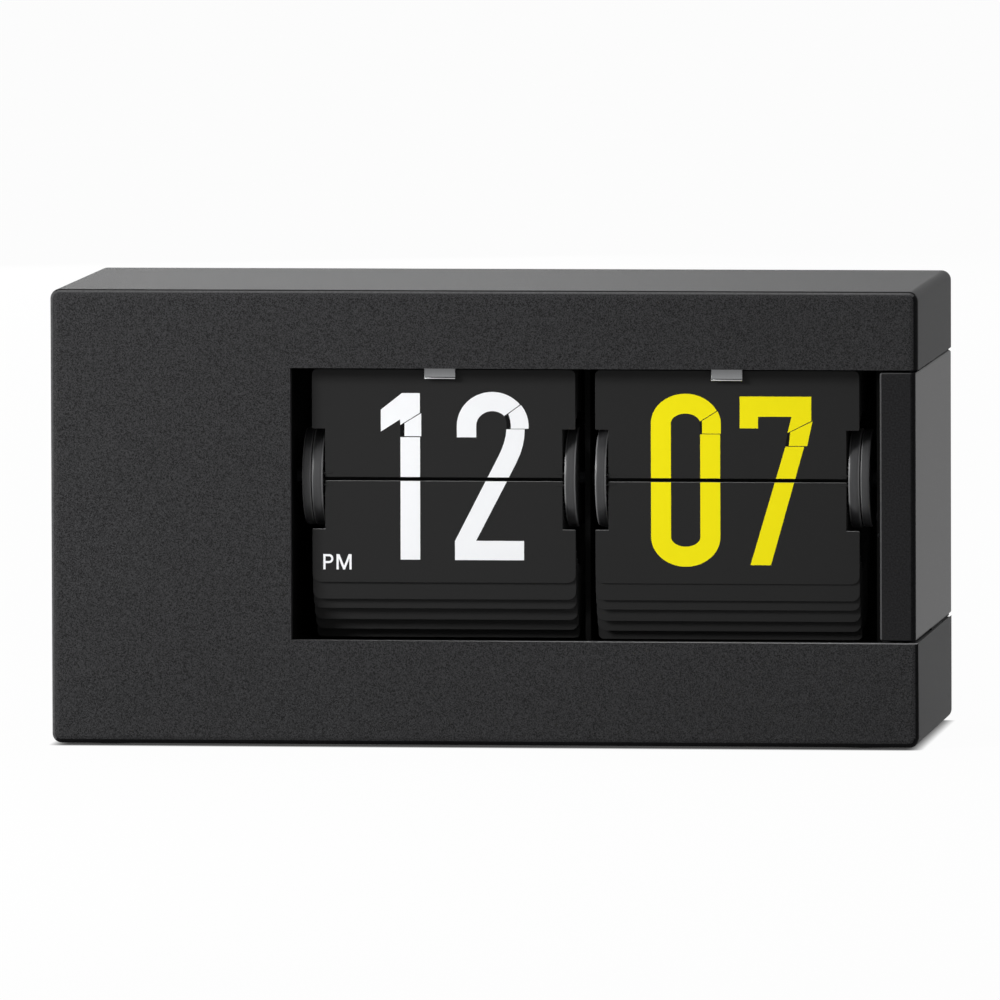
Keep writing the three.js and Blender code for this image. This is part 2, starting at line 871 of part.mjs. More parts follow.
function gearbox() {
  const shape = roundedRect(
    [gearboxDepths[0], gearboxHeights[0]],
    [gearboxDepths[1], gearboxHeights[1]],
    gearboxCorner,
  );
  const x = [gearboxLeft, gearPlateX];
  const bands = [];
  for (let i = 0; i < gearboxRibCount; i += 1) {
    const at = x[0] + ((x[1] - x[0]) * (i + 1)) / (gearboxRibCount + 1);
    const outline = roundedRect(
      [gearboxDepths[0] - gearboxRibTall, gearboxHeights[0] - gearboxRibTall],
      [gearboxDepths[1] + gearboxRibTall, gearboxHeights[1] + gearboxRibTall],
      gearboxCorner + gearboxRibTall,
    );
    bands.push(alongX(outline, [at, at + gearboxRibWide]));
  }
  const body = join(alongX(shape, x), ...bands);
  const well = rodX(
    shaftRadius + axleClearance,
    [gearPlateX - plateThick - axleClearance, gearPlateX + reachOver],
    pinionSpot.depth,
    pinionSpot.z,
    20,
  );
  return body.subtract(well);
}

const motorSpot = {
  depth: (gearboxDepths[0] + gearboxDepths[1]) / 2,
  z: (gearboxHeights[0] + gearboxHeights[1]) / 2,
};

function motorCan() {
  const can = turnedX(
    [
      [0, motorLeft],
      [motorRadius - motorBreak, motorLeft],
      [motorRadius, motorLeft + motorBreak],
      [motorRadius, gearboxLeft],
      [0, gearboxLeft],
    ],
    motorSpot.depth,
    motorSpot.z,
    discSegments,
  );
  const terminals = [-1, 1].map((side) => {
    const middle = motorSpot.depth + (side * motorRadius) / 2;
    return box(
      [motorLeft - motorTerminalWide / 2, motorLeft + motorTerminalWide],
      [middle - motorTerminalWide / 2, middle + motorTerminalWide / 2],
      [motorSpot.z - motorTerminalTall / 2, motorSpot.z + motorTerminalTall / 2],
    );
  });
  return join(can, ...terminals);
}

// Rear cover with the battery opening, the door's channel, the wheel slot and vents
const doorMiddle = (doorLeft + doorRight) / 2;
const bay = {
  x: [doorLeft + bayMargin, doorRight - bayMargin],
  z: [doorBottom + bayMargin, doorTop - bayMargin],
};

function rearCover() {
  const low = [coverGap - innerRight, caseWall + coverGap];
  const high = [innerRight - coverGap, caseHeight - caseWall - coverGap];
  const outline = roundedRect(low, high, caseCornerRadius / 2);
  let cover = alongDepth(outline, [coverInner, coverOuter], 0, 3);
  const cutters = [];
  cutters.push(
    box(
      [blockLeft - coverGap, halfWidth],
      [coverInner - reachOver, caseDepth],
      [windowBottom - coverGap, windowTop + coverGap],
    ),
  );
  for (const z of [windowBottom - caseWall, windowTop]) {
    cutters.push(
      box(
        [blockLeft + ledgeGap - coverGap, halfWidth],
        [coverInner - reachOver, coverInner],
        [z - coverGap, z + caseWall + coverGap],
      ),
    );
  }
  cutters.push(box(bay.x, [coverInner - reachOver, caseDepth], bay.z));
  cutters.push(
    box(
      [doorLeft - doorGap, doorRight + doorGap],
      [coverOuter - doorThick, caseDepth],
      [doorBottom - doorTravel - doorChannelLift, doorTop + doorGap],
    ),
  );
  const slotHalf = Math.sqrt(thumbRadius ** 2 - (coverInner - wheelSpot.depth) ** 2) + slotMargin;
  cutters.push(
    box(
      [thumbLeft - slotMargin, thumbLeft + thumbThick + slotMargin],
      [coverInner - reachOver, caseDepth],
      [wheelSpot.z - slotHalf, wheelSpot.z + slotHalf],
    ),
  );
  for (let i = 0; i < ventCount; i += 1) {
    const x = ventX + (i - (ventCount - 1) / 2) * ventStep;
    const vent = roundedRect(
      [x - ventWide / 2, ventHeight - ventTall / 2],
      [x + ventWide / 2, ventHeight + ventTall / 2],
      ventWide / 2 - axleClearance / 4,
    );
    cutters.push(alongDepth(vent, [coverInner - reachOver, caseDepth], 0, 1));
  }
  for (const [x, z] of bossSpots) {
    cutters.push(rodDepth(screwHole, x, [coverInner - reachOver, caseDepth], z, shaftSegments));
  }
  return cut(cover, ...cutters);
}

function batteryDoor() {
  const outline = roundedRect([doorLeft, doorBottom], [doorRight, doorTop], caseCornerRadius / 2);
  let door = alongDepth(outline, [coverOuter - doorThick, coverOuter], 0, 3);
  for (let i = 0; i < doorGripRibs; i += 1) {
    const z = doorBottom + doorGripRibStep * (i + 1);
    door = door.subtract(
      box(
        [doorMiddle - doorGripHalf, doorMiddle + doorGripHalf],
        [coverOuter - doorGripRibDepth, caseDepth],
        [z, z + doorGripRibWide],
      ),
    );
  }
  return door;
}

function batteryTray() {
  const depth = [coverInner - bayDepth, coverInner];
  const outer = box(
    [bay.x[0] - bayWall, bay.x[1] + bayWall],
    depth,
    [bay.z[0] - bayWall, bay.z[1] + bayWall],
  );
  const inner = box(bay.x, [depth[0] + bayWall, caseDepth], bay.z);
  return outer.subtract(inner);
}

const cellRows = [
  { name: "cell_upper", z: (bay.z[0] + bay.z[1] * 3) / 4, flip: 1 },
  { name: "cell_lower", z: (bay.z[0] * 3 + bay.z[1]) / 4, flip: -1 },
];
const cellDepth = coverInner - bayDepth + bayWall + cellRadius + cellFilm / 2;

function cell(row) {
  const middle = (bay.x[0] + bay.x[1]) / 2;
  const half = cellLength / 2;
  const points = [
    [0, -half],
    [cellRadius - cellFilm, -half],
    [cellRadius, cellFilm - half],
    [cellRadius, half - cellFilm - cellNubLength],
    [cellRadius - cellFilm, half - cellNubLength],
    [cellNubRadius, half - cellNubLength],
    [cellNubRadius, half],
    [0, half],
  ].map(([radius, x]) => [radius, middle + row.flip * x]);
  if (row.flip < 0) {
    points.reverse();
  }
  return turnedX(points, cellDepth, row.z, webSegments);
}

// Contact plates stand against the tray's end walls
function contact(side, rows) {
  const wall = side < 0 ? bay.x[0] : bay.x[1];
  const middle = (bay.x[0] + bay.x[1]) / 2;
  const face = middle + (side * cellLength) / 2;
  const plate = [wall - side * contactThick, wall].sort((a, b) => a - b);
  const reach = [face, wall - (side * contactThick) / 2].sort((a, b) => a - b);
  const low = Math.min(...rows.map((row) => row.z)) - cellRadius + contactMargin;
  const high = Math.max(...rows.map((row) => row.z)) + cellRadius - contactMargin;
  const depth = [cellDepth - cellRadius + contactMargin, cellDepth + cellRadius - contactMargin];
  const bumps = rows.map((row) => rodX(cellNubRadius, reach, cellDepth, row.z, 14));
  return join(box(plate, depth, [low, high]), ...bumps);
}

// Assembly
const colours = {
  shell: { color: 0x3a3b3c, roughness: 0.75, metalness: 0 },
  dark: { color: 0x141415, roughness: 0.7, metalness: 0 },
  flap: { color: 0x2a2b2b, roughness: 0.6, metalness: 0 },
  disc: { color: 0x333434, roughness: 0.45, metalness: 0 },
  steel: { color: 0xa9abad, roughness: 0.35, metalness: 0.9 },
  brass: { color: 0xb89a58, roughness: 0.4, metalness: 0.85 },
  gear: { color: 0xd9d6cc, roughness: 0.55, metalness: 0 },
  rubber: { color: 0x1b1b1c, roughness: 0.9, metalness: 0 },
  cell: { color: 0x4a5a66, roughness: 0.45, metalness: 0.3 },
};

const clock = new THREE.Group();
clock.name = "flip_clock";

// The solid's mesh, lifted by the height that the feet stand out below the case
function add(name, made, colour) {
  const mesh = made.getMesh();
  const geometry = new THREE.BufferGeometry();
  const points = new Float32Array(mesh.numVert * 3);
  for (let i = 0; i < mesh.numVert; i += 1) {
    points.set(mesh.vertProperties.subarray(i * mesh.numProp, i * mesh.numProp + 3), i * 3);
  }
  geometry.setAttribute("position", new THREE.BufferAttribute(points, 3));
  geometry.setIndex(new THREE.BufferAttribute(mesh.triVerts, 1));
  geometry.translate(0, 0, footStand);
  geometry.computeVertexNormals();
  const node = new THREE.Mesh(geometry, new THREE.MeshStandardMaterial(colours[colour]));
  node.name = name;
  clock.add(node);
}

add("case_shell", caseShell(), "shell");
add("end_block", endBlock(), "shell");
add("rear_cover", rearCover(), "dark");
for (const spot of footSpots) {
  add(spot.name, foot(spot), "rubber");
}
add("battery_door", batteryDoor(), "dark");
add("battery_tray", batteryTray(), "dark");
for (const row of cellRows) {
  add(row.name, cell(row), "cell");
}
add("contact_link", contact(-1, cellRows), "steel");
add("contact_plus", contact(1, [cellRows[0]]), "steel");
add("contact_minus", contact(1, [cellRows[1]]), "steel");

add(
  "frame_left",
  framePlate(leftPlateX, plateFrontDepth, gearPlateRearDepth, [
    axleHole,
    ...rodHoles,
    shaftHole(idlerSpot),
    shaftHole(wheelSpot),
  ]),
  "dark",
);
add(
  "frame_middle",
  framePlate(midPlateX, midPlateFrontDepth, plateRearDepth, [axleHole, ...rodHoles]),
  "dark",
);
add(
  "frame_right",
  framePlate(rightPlateX, plateFrontDepth, plateRearDepth, [axleHole, ...rodHoles]),
  "dark",
);
add(
  "gear_plate",
  framePlate(gearPlateX, plateFrontDepth, gearPlateRearDepth, [
    axleHole,
    shaftHole(idlerSpot),
    shaftHole(wheelSpot),
    shaftHole(pinionSpot),
  ]),
  "dark",
);
for (const spot of rodSpots) {
  add(spot.name, tieRod(spot), "steel");
}
add("catch_bar", catchBar(), "dark");
add("hour_catch", flapCatch(hourCatchX), "steel");
add("minute_catch", flapCatch(minuteCatchX), "steel");

add("gearbox", gearbox(), "dark");
add("motor_can", motorCan(), "steel");
add("motor_pinion", motorPinion(), "brass");
add("idler_gear", idlerGear(), "gear");
add("time_set_wheel", timeSetWheel(), "dark");
add("drive_gear", gear(driveTeeth, driveSpot, drivePhase, axleRadius + axleClearance), "gear");
add(
  "axle",
  rodX(axleRadius, [gearPlateX, rightPlateX + plateThick], axleDepth, axleHeight, webSegments),
  "steel",
);

const displays = [
  { name: "hour", plan: drumPlan(hourCentre, hourLeaves), outerSide: -1 },
  { name: "minute", plan: drumPlan(minuteCentre, minuteLeaves), outerSide: 1 },
];
for (const { name, plan, outerSide } of displays) {
  add(name + "_disc_left", disc(plan, -1), "disc");
  add(name + "_disc_right", disc(plan, 1), "disc");
  add(name + "_outer_disc", outerDisc(plan, outerSide), "disc");
  add(name + "_hub", hub(plan), "disc");
  add(name + "_rear_flaps", rearFlaps(plan), "flap");
  add(name + "_next_flap", nextFlap(plan), "flap");
  add(name + "_top_flap", topFlap(plan), "flap");
  add(name + "_front_flap", hangingFlap(plan, 0), "flap");
  for (let step = 1; step <= freeStackFlaps; step += 1) {
    add(name + "_stack_flap_" + step, hangingFlap(plan, step), "flap");
  }
}

export default clock;
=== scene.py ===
"""Flip clock: the looks of the photographed clock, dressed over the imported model.

Lengths in the classes are millimetres: x to the right, depth back from the case's front face and
height above the case's base. settle() turns them into the frame's metres.
"""

import logging
import math
from dataclasses import dataclass, replace
from enum import Enum, IntEnum
from typing import Callable, Iterable, Sequence

import bmesh
import bpy
from mathutils import Matrix, Vector


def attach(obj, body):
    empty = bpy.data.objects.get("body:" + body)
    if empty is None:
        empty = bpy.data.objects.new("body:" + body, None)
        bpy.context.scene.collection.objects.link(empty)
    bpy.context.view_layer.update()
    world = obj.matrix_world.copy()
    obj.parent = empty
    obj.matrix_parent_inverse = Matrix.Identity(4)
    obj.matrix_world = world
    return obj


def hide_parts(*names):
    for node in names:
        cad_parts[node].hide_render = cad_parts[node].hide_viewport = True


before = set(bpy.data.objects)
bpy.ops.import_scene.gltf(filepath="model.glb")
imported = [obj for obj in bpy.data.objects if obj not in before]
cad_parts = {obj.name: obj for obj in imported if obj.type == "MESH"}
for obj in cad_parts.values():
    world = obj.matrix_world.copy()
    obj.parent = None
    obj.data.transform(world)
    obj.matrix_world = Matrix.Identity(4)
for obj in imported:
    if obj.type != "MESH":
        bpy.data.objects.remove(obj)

logging.basicConfig(level=logging.INFO, format="%(name)s: %(message)s")
log = logging.getLogger("flip_clock")

Point = tuple[float, float]
Spot = tuple[float, float, float]
MM = 0.001
SEAT = Matrix.Scale(MM, 4) @ Matrix.Translation((0.0, -42.5, 0.5))
AXLE_DEPTH = 15.3
AXLE_HEIGHT = 60.9
NEAR = 0.01
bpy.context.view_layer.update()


def linear(red: float, green: float, blue: float) -> tuple[float, float, float, float]:
    """Turns display values from 0 to 255 into the linear colour that a shader takes.

    Args:
        red: Red as displayed.
        green: Green as displayed.
        blue: Blue as displayed.

    Returns:
        Linear red, green, blue and an alpha of one.
    """

    def one(value: float) -> float:
        """Returns one channel made linear."""
        share = value / 255.0
        return share / 12.92 if share <= 0.04045 else ((share + 0.055) / 1.055) ** 2.4

    return (one(red), one(green), one(blue), 1.0)


class Grain(Enum):
    """How a surface's fine pattern runs: its stretch along x, y and z."""

    EVEN = (1.0, 1.0, 1.0)
    TURNED = (9.0, 0.25, 0.25)
    ALONG_X = (0.06, 1.0, 1.0)
    ALONG_Z = (1.0, 1.0, 0.06)


class Way(Enum):
    """A direction to turn an outline about."""

    RIGHT = (1.0, 0.0, 0.0)
    BACK = (0.0, 1.0, 0.0)
    UP = (0.0, 0.0, 1.0)


class CaseFace(IntEnum):
    """The material index of each kind of face on the case."""

    COAT = 0
    # Indices 1 and 2 are painted highlights on the case's edges, 3 is painted shade on them.
    SILL = 1
    PAINTED_HIGHLIGHT = 2
    PAINTED_SHADE = 3


class BlockFace(IntEnum):
    """The material index of each kind of face on the end block."""

    # Index 1 is a painted highlight on the block's front rim, 2 is painted shade on its front right
    # edge and tongues.
    PAINTED_HIGHLIGHT = 1
    PAINTED_SHADE = 2


def set_inputs(node: bpy.types.Node, values: dict[str | int, object]) -> None:
    """Sets inputs of a node.

    Args:
        node: The node.
        values: The value of each input, by its name or place.
    """
    for socket, value in values.items():
        node.inputs[socket].default_value = value


def add_node(
    tree: bpy.types.NodeTree, kind: str, values: dict[str | int, object] | None = None
) -> bpy.types.Node:
    """Adds a node and sets its inputs.

    Args:
        tree: The tree that it joins.
        kind: The node's type.
        values: The value of each input that isn't linked.

    Returns:
        The node.
    """
    node = tree.nodes.new(kind)
    set_inputs(node, values or {})
    return node


def add_math(
    tree: bpy.types.NodeTree, operation: str, values: dict[str | int, object] | None = None
) -> bpy.types.Node:
    """Adds a node that calculates.

    Args:
        tree: The tree that it joins.
        operation: What it does with its inputs.
        values: The value of each input that isn't linked.

    Returns:
        The node.
    """
    node = tree.nodes.new("ShaderNodeMath")
    node.operation = operation
    set_inputs(node, values or {})
    return node


def wire(
    tree: bpy.types.NodeTree, *links: tuple[bpy.types.Node, str, bpy.types.Node, str | int]
) -> None:
    """Links nodes.

    Args:
        tree: The tree that holds them.
        links: Each a node, its output, the next node and its input, by name or place.
    """
    for source, out, target, into in links:
        tree.links.new(source.outputs[out], target.inputs[into])


def start_group(
    name: str, inputs: dict[str, str], outputs: dict[str, str]
) -> tuple[bpy.types.NodeTree, bpy.types.Node, bpy.types.Node]:
    """Starts a shared node group.

    Args:
        name: The group's name.
        inputs: The kind of each input, by name.
        outputs: The kind of each output, by name.

    Returns:
        The group, its input node and its output node.
    """
    group = bpy.data.node_groups.new(name, "ShaderNodeTree")
    for way, sockets in (("INPUT", inputs), ("OUTPUT", outputs)):
        for socket, kind in sockets.items():
            group.interface.new_socket(name=socket, in_out=way, socket_type="NodeSocket" + kind)
    return group, group.nodes.new("NodeGroupInput"), group.nodes.new("NodeGroupOutput")


def grain_group() -> bpy.types.NodeTree:
    """Builds the shared surface pattern once.

    Returns:
        A group with a fine mask, a slow mask and a height, all varying over the surface.
    """
    found = bpy.data.node_groups.get("surface_grain")
    if found:
        return found
    group, enter, leave = start_group(
        "surface_grain",
        {"Stretch": "Vector", "Fine Scale": "Float", "Slow Scale": "Float", "Contrast": "Float"},
        {"Fine": "Float", "Slow": "Float", "Height": "Float"},
    )
    place = add_node(group, "ShaderNodeTexCoord")
    stretch = add_node(group, "ShaderNodeVectorMath")
    stretch.operation = "MULTIPLY"
    fine = add_node(group, "ShaderNodeTexNoise", {"Detail": 3.0, "Roughness": 0.62})
    slow = add_node(group, "ShaderNodeTexNoise", {"Detail": 2.0})
    pebble = add_node(group, "ShaderNodeTexVoronoi")
    pebble.feature = "SMOOTH_F1"
    lift = add_math(group, "MULTIPLY_ADD", {1: -0.6})
    spread = add_math(group, "SUBTRACT", {1: 0.5})
    sharpen = add_math(group, "MULTIPLY_ADD", {2: 0.5})
    sharpen.use_clamp = True
    wire(
        group,
        (place, "Object", stretch, 0), (enter, "Stretch", stretch, 1),
        (stretch, "Vector", fine, "Vector"), (enter, "Fine Scale", fine, "Scale"),
        (place, "Object", slow, "Vector"), (enter, "Slow Scale", slow, "Scale"),
        (stretch, "Vector", pebble, "Vector"), (enter, "Fine Scale", pebble, "Scale"),
        (pebble, "Distance", lift, 0), (fine, "Fac", lift, 2), (fine, "Fac", spread, 0),
        (spread, "Value", sharpen, 0), (enter, "Contrast", sharpen, 1),
        (sharpen, "Value", leave, "Fine"), (slow, "Fac", leave, "Slow"),
        (lift, "Value", leave, "Height"),
    )
    return group


def tint_group() -> bpy.types.NodeTree:
    """Builds the shared group that varies a colour by the two masks.

    Returns:
        A group that puts out a colour and a roughness varying over the surface.
    """
    found = bpy.data.node_groups.get("tint_by_grain")
    if found:
        return found
    floats = ("Fine", "Slow", "Slow Amount", "Roughness", "Spread")
    group, enter, leave = start_group(
        "tint_by_grain",
        {"Dark": "Color", "Light": "Color", **dict.fromkeys(floats, "Float")},
        {"Color": "Color", "Roughness": "Float"},
    )
    blend = add_node(group, "ShaderNodeMix")
    blend.data_type = "FLOAT"
    colour = add_node(group, "ShaderNodeMix")
    colour.data_type = "RGBA"
    rough = add_math(group, "MULTIPLY_ADD")
    wire(
        group,
        (enter, "Slow Amount", blend, "Factor"), (enter, "Fine", blend, "A"),
        (enter, "Slow", blend, "B"), (blend, "Result", colour, "Factor"),
        (enter, "Dark", colour, "A"), (enter, "Light", colour, "B"),
        (blend, "Result", rough, 0), (enter, "Spread", rough, 1), (enter, "Roughness", rough, 2),
        (colour, "Result", leave, "Color"), (rough, "Value", leave, "Roughness"),
    )
    return group


@dataclass(frozen=True)
class Finish:
    """One surface finish, made from the shared grain with its own values.

    Attributes:
        name: The material's name.
        slot: The record's material slot, or an empty text where there is none; not used.
        colour: Display colour from 0 to 255.
        variation: Share by which the colour goes darker and lighter over the surface.
        roughness: The lowest roughness.
        spread: How much rougher the lighter spots are.
        specular: Specular level of the surface.
        metallic: One for bare metal.
        grain: How the fine pattern runs.
        fine_scale: Spots of the fine pattern per metre, roughly.
        slow_scale: Spots of the slow pattern per metre, roughly.
        slow_amount: Share of the slow pattern in the colour.
        contrast: How crisp the fine pattern is.
        bump: Height of the fine pattern in metres.
    """

    name: str
    slot: str
    colour: tuple[float, float, float]
    variation: float = 0.12
    roughness: float = 0.5
    spread: float = 0.08
    specular: float = 0.5
    metallic: float = 0.0
    grain: Grain = Grain.EVEN
    fine_scale: float = 2000.0
    slow_scale: float = 30.0
    slow_amount: float = 0.3
    contrast: float = 1.6
    bump: float = 0.00002

    def material(self) -> bpy.types.Material:
        """Returns the finish's material, building it on first use."""
        made = bpy.data.materials.get(self.name)
        if made:
            return made
        made = bpy.data.materials.new(self.name)
        made.use_nodes = True
        tree = made.node_tree
        shader = tree.nodes["Principled BSDF"]
        dark, light = (
            (*(min(value * share, 1.0) for value in linear(*self.colour)[:3]), 1.0)
            for share in (1 - self.variation, 1 + self.variation)
        )
        grain = add_node(tree, "ShaderNodeGroup")
        grain.node_tree = grain_group()
        set_inputs(grain, {
            "Stretch": self.grain.value, "Fine Scale": self.fine_scale,
            "Slow Scale": self.slow_scale, "Contrast": self.contrast,
        })
        tint = add_node(tree, "ShaderNodeGroup")
        tint.node_tree = tint_group()
        set_inputs(tint, {
            "Dark": dark, "Light": light, "Slow Amount": self.slow_amount,
            "Roughness": self.roughness, "Spread": self.spread,
        })
        set_inputs(shader, {"Metallic": self.metallic, "Specular IOR Level": self.specular})
        bump = add_node(tree, "ShaderNodeBump", {"Strength": 1.0, "Distance": self.bump})
        wire(
            tree,
            (grain, "Fine", tint, "Fine"), (grain, "Slow", tint, "Slow"),
            (tint, "Color", shader, "Base Color"), (tint, "Roughness", shader, "Roughness"),
            (grain, "Height", bump, "Height"), (bump, "Normal", shader, "Normal"),
        )
        return made


CASE_COAT = Finish(
    "case_coat", "shell", (43, 43, 44), variation=0.95, roughness=0.58, spread=0.1, specular=0.1,
    fine_scale=4200.0, slow_scale=18.0, slow_amount=0.1, contrast=3.6, bump=0.00003,
)
# Painted highlight: the light finish of the window sill's broken front edge.
SILL_HIGHLIGHT = Finish(
    "painted_sill_highlight", "", (132, 132, 133), variation=0.3, roughness=0.4, specular=0.2,
    fine_scale=1500.0, contrast=2.0,
)
# Painted highlight on the bands of the case's front rounding above and at the left.
CASE_EDGE_HIGHLIGHT = replace(
    SILL_HIGHLIGHT, name="painted_case_edge_highlight", colour=(56, 56, 57), variation=0.5, contrast=2.6,
)
# Painted shade on the case's front rounding, the end block's front right edge and its tongues.
PAINTED_SHADE_EDGE = Finish(
    "painted_shade_edge", "", (21, 21, 22), variation=0.6, roughness=0.6, specular=0.03,
    fine_scale=3100.0, contrast=3.0,
)
BLOCK_COAT = Finish(
    "block_coat", "shell", (33, 33, 34), variation=0.5, roughness=0.38, spread=0.06, specular=0.06,
    fine_scale=2400.0, slow_scale=18.0, slow_amount=0.1, contrast=2.4, bump=0.00001,
)
# Painted highlight on the end block's front rim where it faces up or left.
BLOCK_EDGE_HIGHLIGHT = replace(SILL_HIGHLIGHT, name="painted_block_edge_highlight", colour=(70, 70, 71))
INNER_PLASTIC = Finish(
    "inner_plastic", "dark", (7, 7, 7), roughness=0.7, specular=0.05, fine_scale=900.0,
)
COVER_PLASTIC = Finish(
    "cover_plastic", "dark", (33, 33, 34), variation=0.3, roughness=0.55, specular=0.3,
    fine_scale=1500.0, contrast=2.0, bump=0.00003,
)
FLAP_SHEET = Finish(
    "flap_sheet", "flap", (37, 37, 37), variation=0.05, specular=0.07, fine_scale=1200.0,
    slow_scale=40.0, slow_amount=0.6, contrast=1.0, bump=0.000002,
)
# Painted highlight on the upward-facing broken edges of the hanging flaps.
FLAP_EDGE_HIGHLIGHT = Finish(
    "painted_flap_edge_highlight", "", (112, 112, 112), variation=0.15, roughness=0.45, specular=0.4,
    fine_scale=900.0,
)
DISC_PLASTIC = Finish(
    "disc_plastic", "disc", (62, 62, 63), variation=0.3, roughness=0.34, specular=0.25,
    grain=Grain.TURNED, fine_scale=700.0, slow_scale=60.0, slow_amount=0.2, contrast=1.8,
    bump=0.000006,
)
# Painted highlight on the shoulders of the discs' rims.
DISC_EDGE_HIGHLIGHT = Finish(
    "painted_disc_edge_highlight", "", (112, 112, 113), variation=0.2, roughness=0.35, specular=0.3,
    grain=Grain.TURNED, fine_scale=700.0,
)
# Painted highlight on the catch's rounded edges.
CATCH_EDGE_HIGHLIGHT = Finish(
    "painted_catch_edge_highlight", "", (196, 196, 197), variation=0.1, roughness=0.38, metallic=1.0,
    fine_scale=3000.0,
)
BLACK_MOULDING = Finish(
    "black_moulding", "disc", (16, 16, 17), variation=0.15, specular=0.2, fine_scale=900.0,
)
DARK_STEEL = Finish(
    "blackened_steel", "steel", (26, 26, 27), variation=0.15, specular=0.3, metallic=1.0,
    grain=Grain.ALONG_X, fine_scale=3000.0, bump=0.000003,
)
STEEL = Finish(
    "satin_steel", "steel", (168, 169, 171), roughness=0.34, spread=0.12, metallic=1.0,
    grain=Grain.ALONG_X, fine_scale=4000.0, bump=0.000003,
)
CATCH_STEEL = Finish(
    "catch_steel", "steel", (132, 133, 134), variation=0.1, roughness=0.42, spread=0.1,
    metallic=1.0, grain=Grain.ALONG_Z, fine_scale=5000.0, bump=0.000003,
)
BRASS = Finish(
    "pinion_brass", "brass", (188, 156, 96), roughness=0.32, metallic=1.0, grain=Grain.TURNED,
    fine_scale=900.0, bump=0.000004,
)
GEAR_PLASTIC = Finish(
    "gear_plastic", "gear", (214, 210, 200), variation=0.04, roughness=0.48, fine_scale=700.0,
    slow_amount=0.6,
)
FOOT_RUBBER = Finish(
    "foot_rubber", "rubber", (24, 24, 25), variation=0.2, roughness=0.85, specular=0.25,
    fine_scale=2600.0,
)
CELL_WRAP = Finish(
    "cell_wrap", "cell", (62, 74, 84), variation=0.1, roughness=0.38, metallic=0.2,
    fine_scale=500.0, slow_amount=0.5, bump=0.000004,
)
WHITE_INK = Finish(
    "white_ink", "", (246, 247, 249), variation=0.02, roughness=0.55, specular=0.08,
    fine_scale=1500.0, slow_amount=0.5, contrast=1.0, bump=0.000002,
)
YELLOW_INK = replace(WHITE_INK, name="yellow_ink", colour=(250, 236, 16))
GAP_INK = Finish("gap_ink", "", (4, 4, 4), roughness=0.7, specular=0.1, fine_scale=1500.0)

NODE_FINISHES: dict[str, Finish] = {
    name: finish
    for finish, names in (
        (COVER_PLASTIC, ("rear_cover", "battery_door")),
        (INNER_PLASTIC, (
            "battery_tray", "frame_left", "frame_middle", "frame_right", "gear_plate", "catch_bar",
        )),
        (BLACK_MOULDING, ("gearbox", "hour_hub", "minute_hub", "time_set_wheel")),
        (STEEL, (
            "motor_can", "tie_rod_top", "tie_rod_middle", "tie_rod_low", "contact_link",
            "contact_plus", "contact_minus",
        )),
        (DARK_STEEL, ("axle",)),
        (BRASS, ("motor_pinion",)),
        (GEAR_PLASTIC, ("idler_gear", "drive_gear")),
        (CELL_WRAP, ("cell_upper", "cell_lower")),
        (FLAP_SHEET, ("hour_rear_flaps", "minute_rear_flaps")),
    )
    for name in names
}


def add_object(name: str, data: bpy.types.ID) -> bpy.types.Object:
    """Adds an object to the scene.

    Args:
        name: The object's name.
        data: Its mesh, light or camera.

    Returns:
        The object.
    """
    made = bpy.data.objects.new(name, data)
    bpy.context.scene.collection.objects.link(made)
    return made


def settle(
    shape: bmesh.types.BMesh,
    name: str,
    finish: Finish,
    body: str,
    stands_for: Sequence[str] = (),
    sharp: float = 40.0,
    bevel: float = 0.0,
    bevel_segments: int = 3,
    by_weight: bool = False,
    edges: Sequence[Finish] = (),
    bevel_slot_index: int = -1,
) -> bpy.types.Object:
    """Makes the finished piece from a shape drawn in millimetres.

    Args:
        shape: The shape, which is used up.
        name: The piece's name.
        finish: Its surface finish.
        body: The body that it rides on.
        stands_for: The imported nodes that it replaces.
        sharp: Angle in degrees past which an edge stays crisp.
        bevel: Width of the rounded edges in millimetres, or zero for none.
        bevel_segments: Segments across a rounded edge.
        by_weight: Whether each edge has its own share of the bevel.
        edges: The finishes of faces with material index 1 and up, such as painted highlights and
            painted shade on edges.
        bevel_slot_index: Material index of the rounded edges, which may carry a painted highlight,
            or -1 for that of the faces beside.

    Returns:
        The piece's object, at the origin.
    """
    bmesh.ops.transform(shape, matrix=SEAT, verts=shape.verts)
    mesh = bpy.data.meshes.new(name)
    shape.to_mesh(mesh)
    shape.free()
    mesh.shade_smooth()
    mesh.set_sharp_from_angle(angle=math.radians(sharp))
    mesh.materials.append(finish.material())
    for edge_finish in edges:
        mesh.materials.append(edge_finish.material())
    piece = add_object(name, mesh)
    if bevel > 0:
        edge = piece.modifiers.new("rounded_edges", "BEVEL")
        edge.width = bevel * MM
        edge.segments = bevel_segments
        edge.profile = 0.5
        # The rounded edges may take a finish that is a painted highlight.
        edge.material = bevel_slot_index
        edge.limit_method = "WEIGHT" if by_weight else "ANGLE"
        edge.angle_limit = math.radians(sharp)
    even = piece.modifiers.new("even_shading", "WEIGHTED_NORMAL")
    even.keep_sharp = True
    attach(piece, body)
    if stands_for:
        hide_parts(*stands_for)
    log.info("%s: %d faces on %s", name, len(mesh.polygons), body)
    return piece


def close_up(shape: bmesh.types.BMesh) -> None:
    """Merges doubles and turns the faces outwards.

    Args:
        shape: A closed shape in millimetres.
    """
    bmesh.ops.remove_doubles(shape, verts=shape.verts, dist=0.0005)
    bmesh.ops.recalc_face_normals(shape, faces=shape.faces)


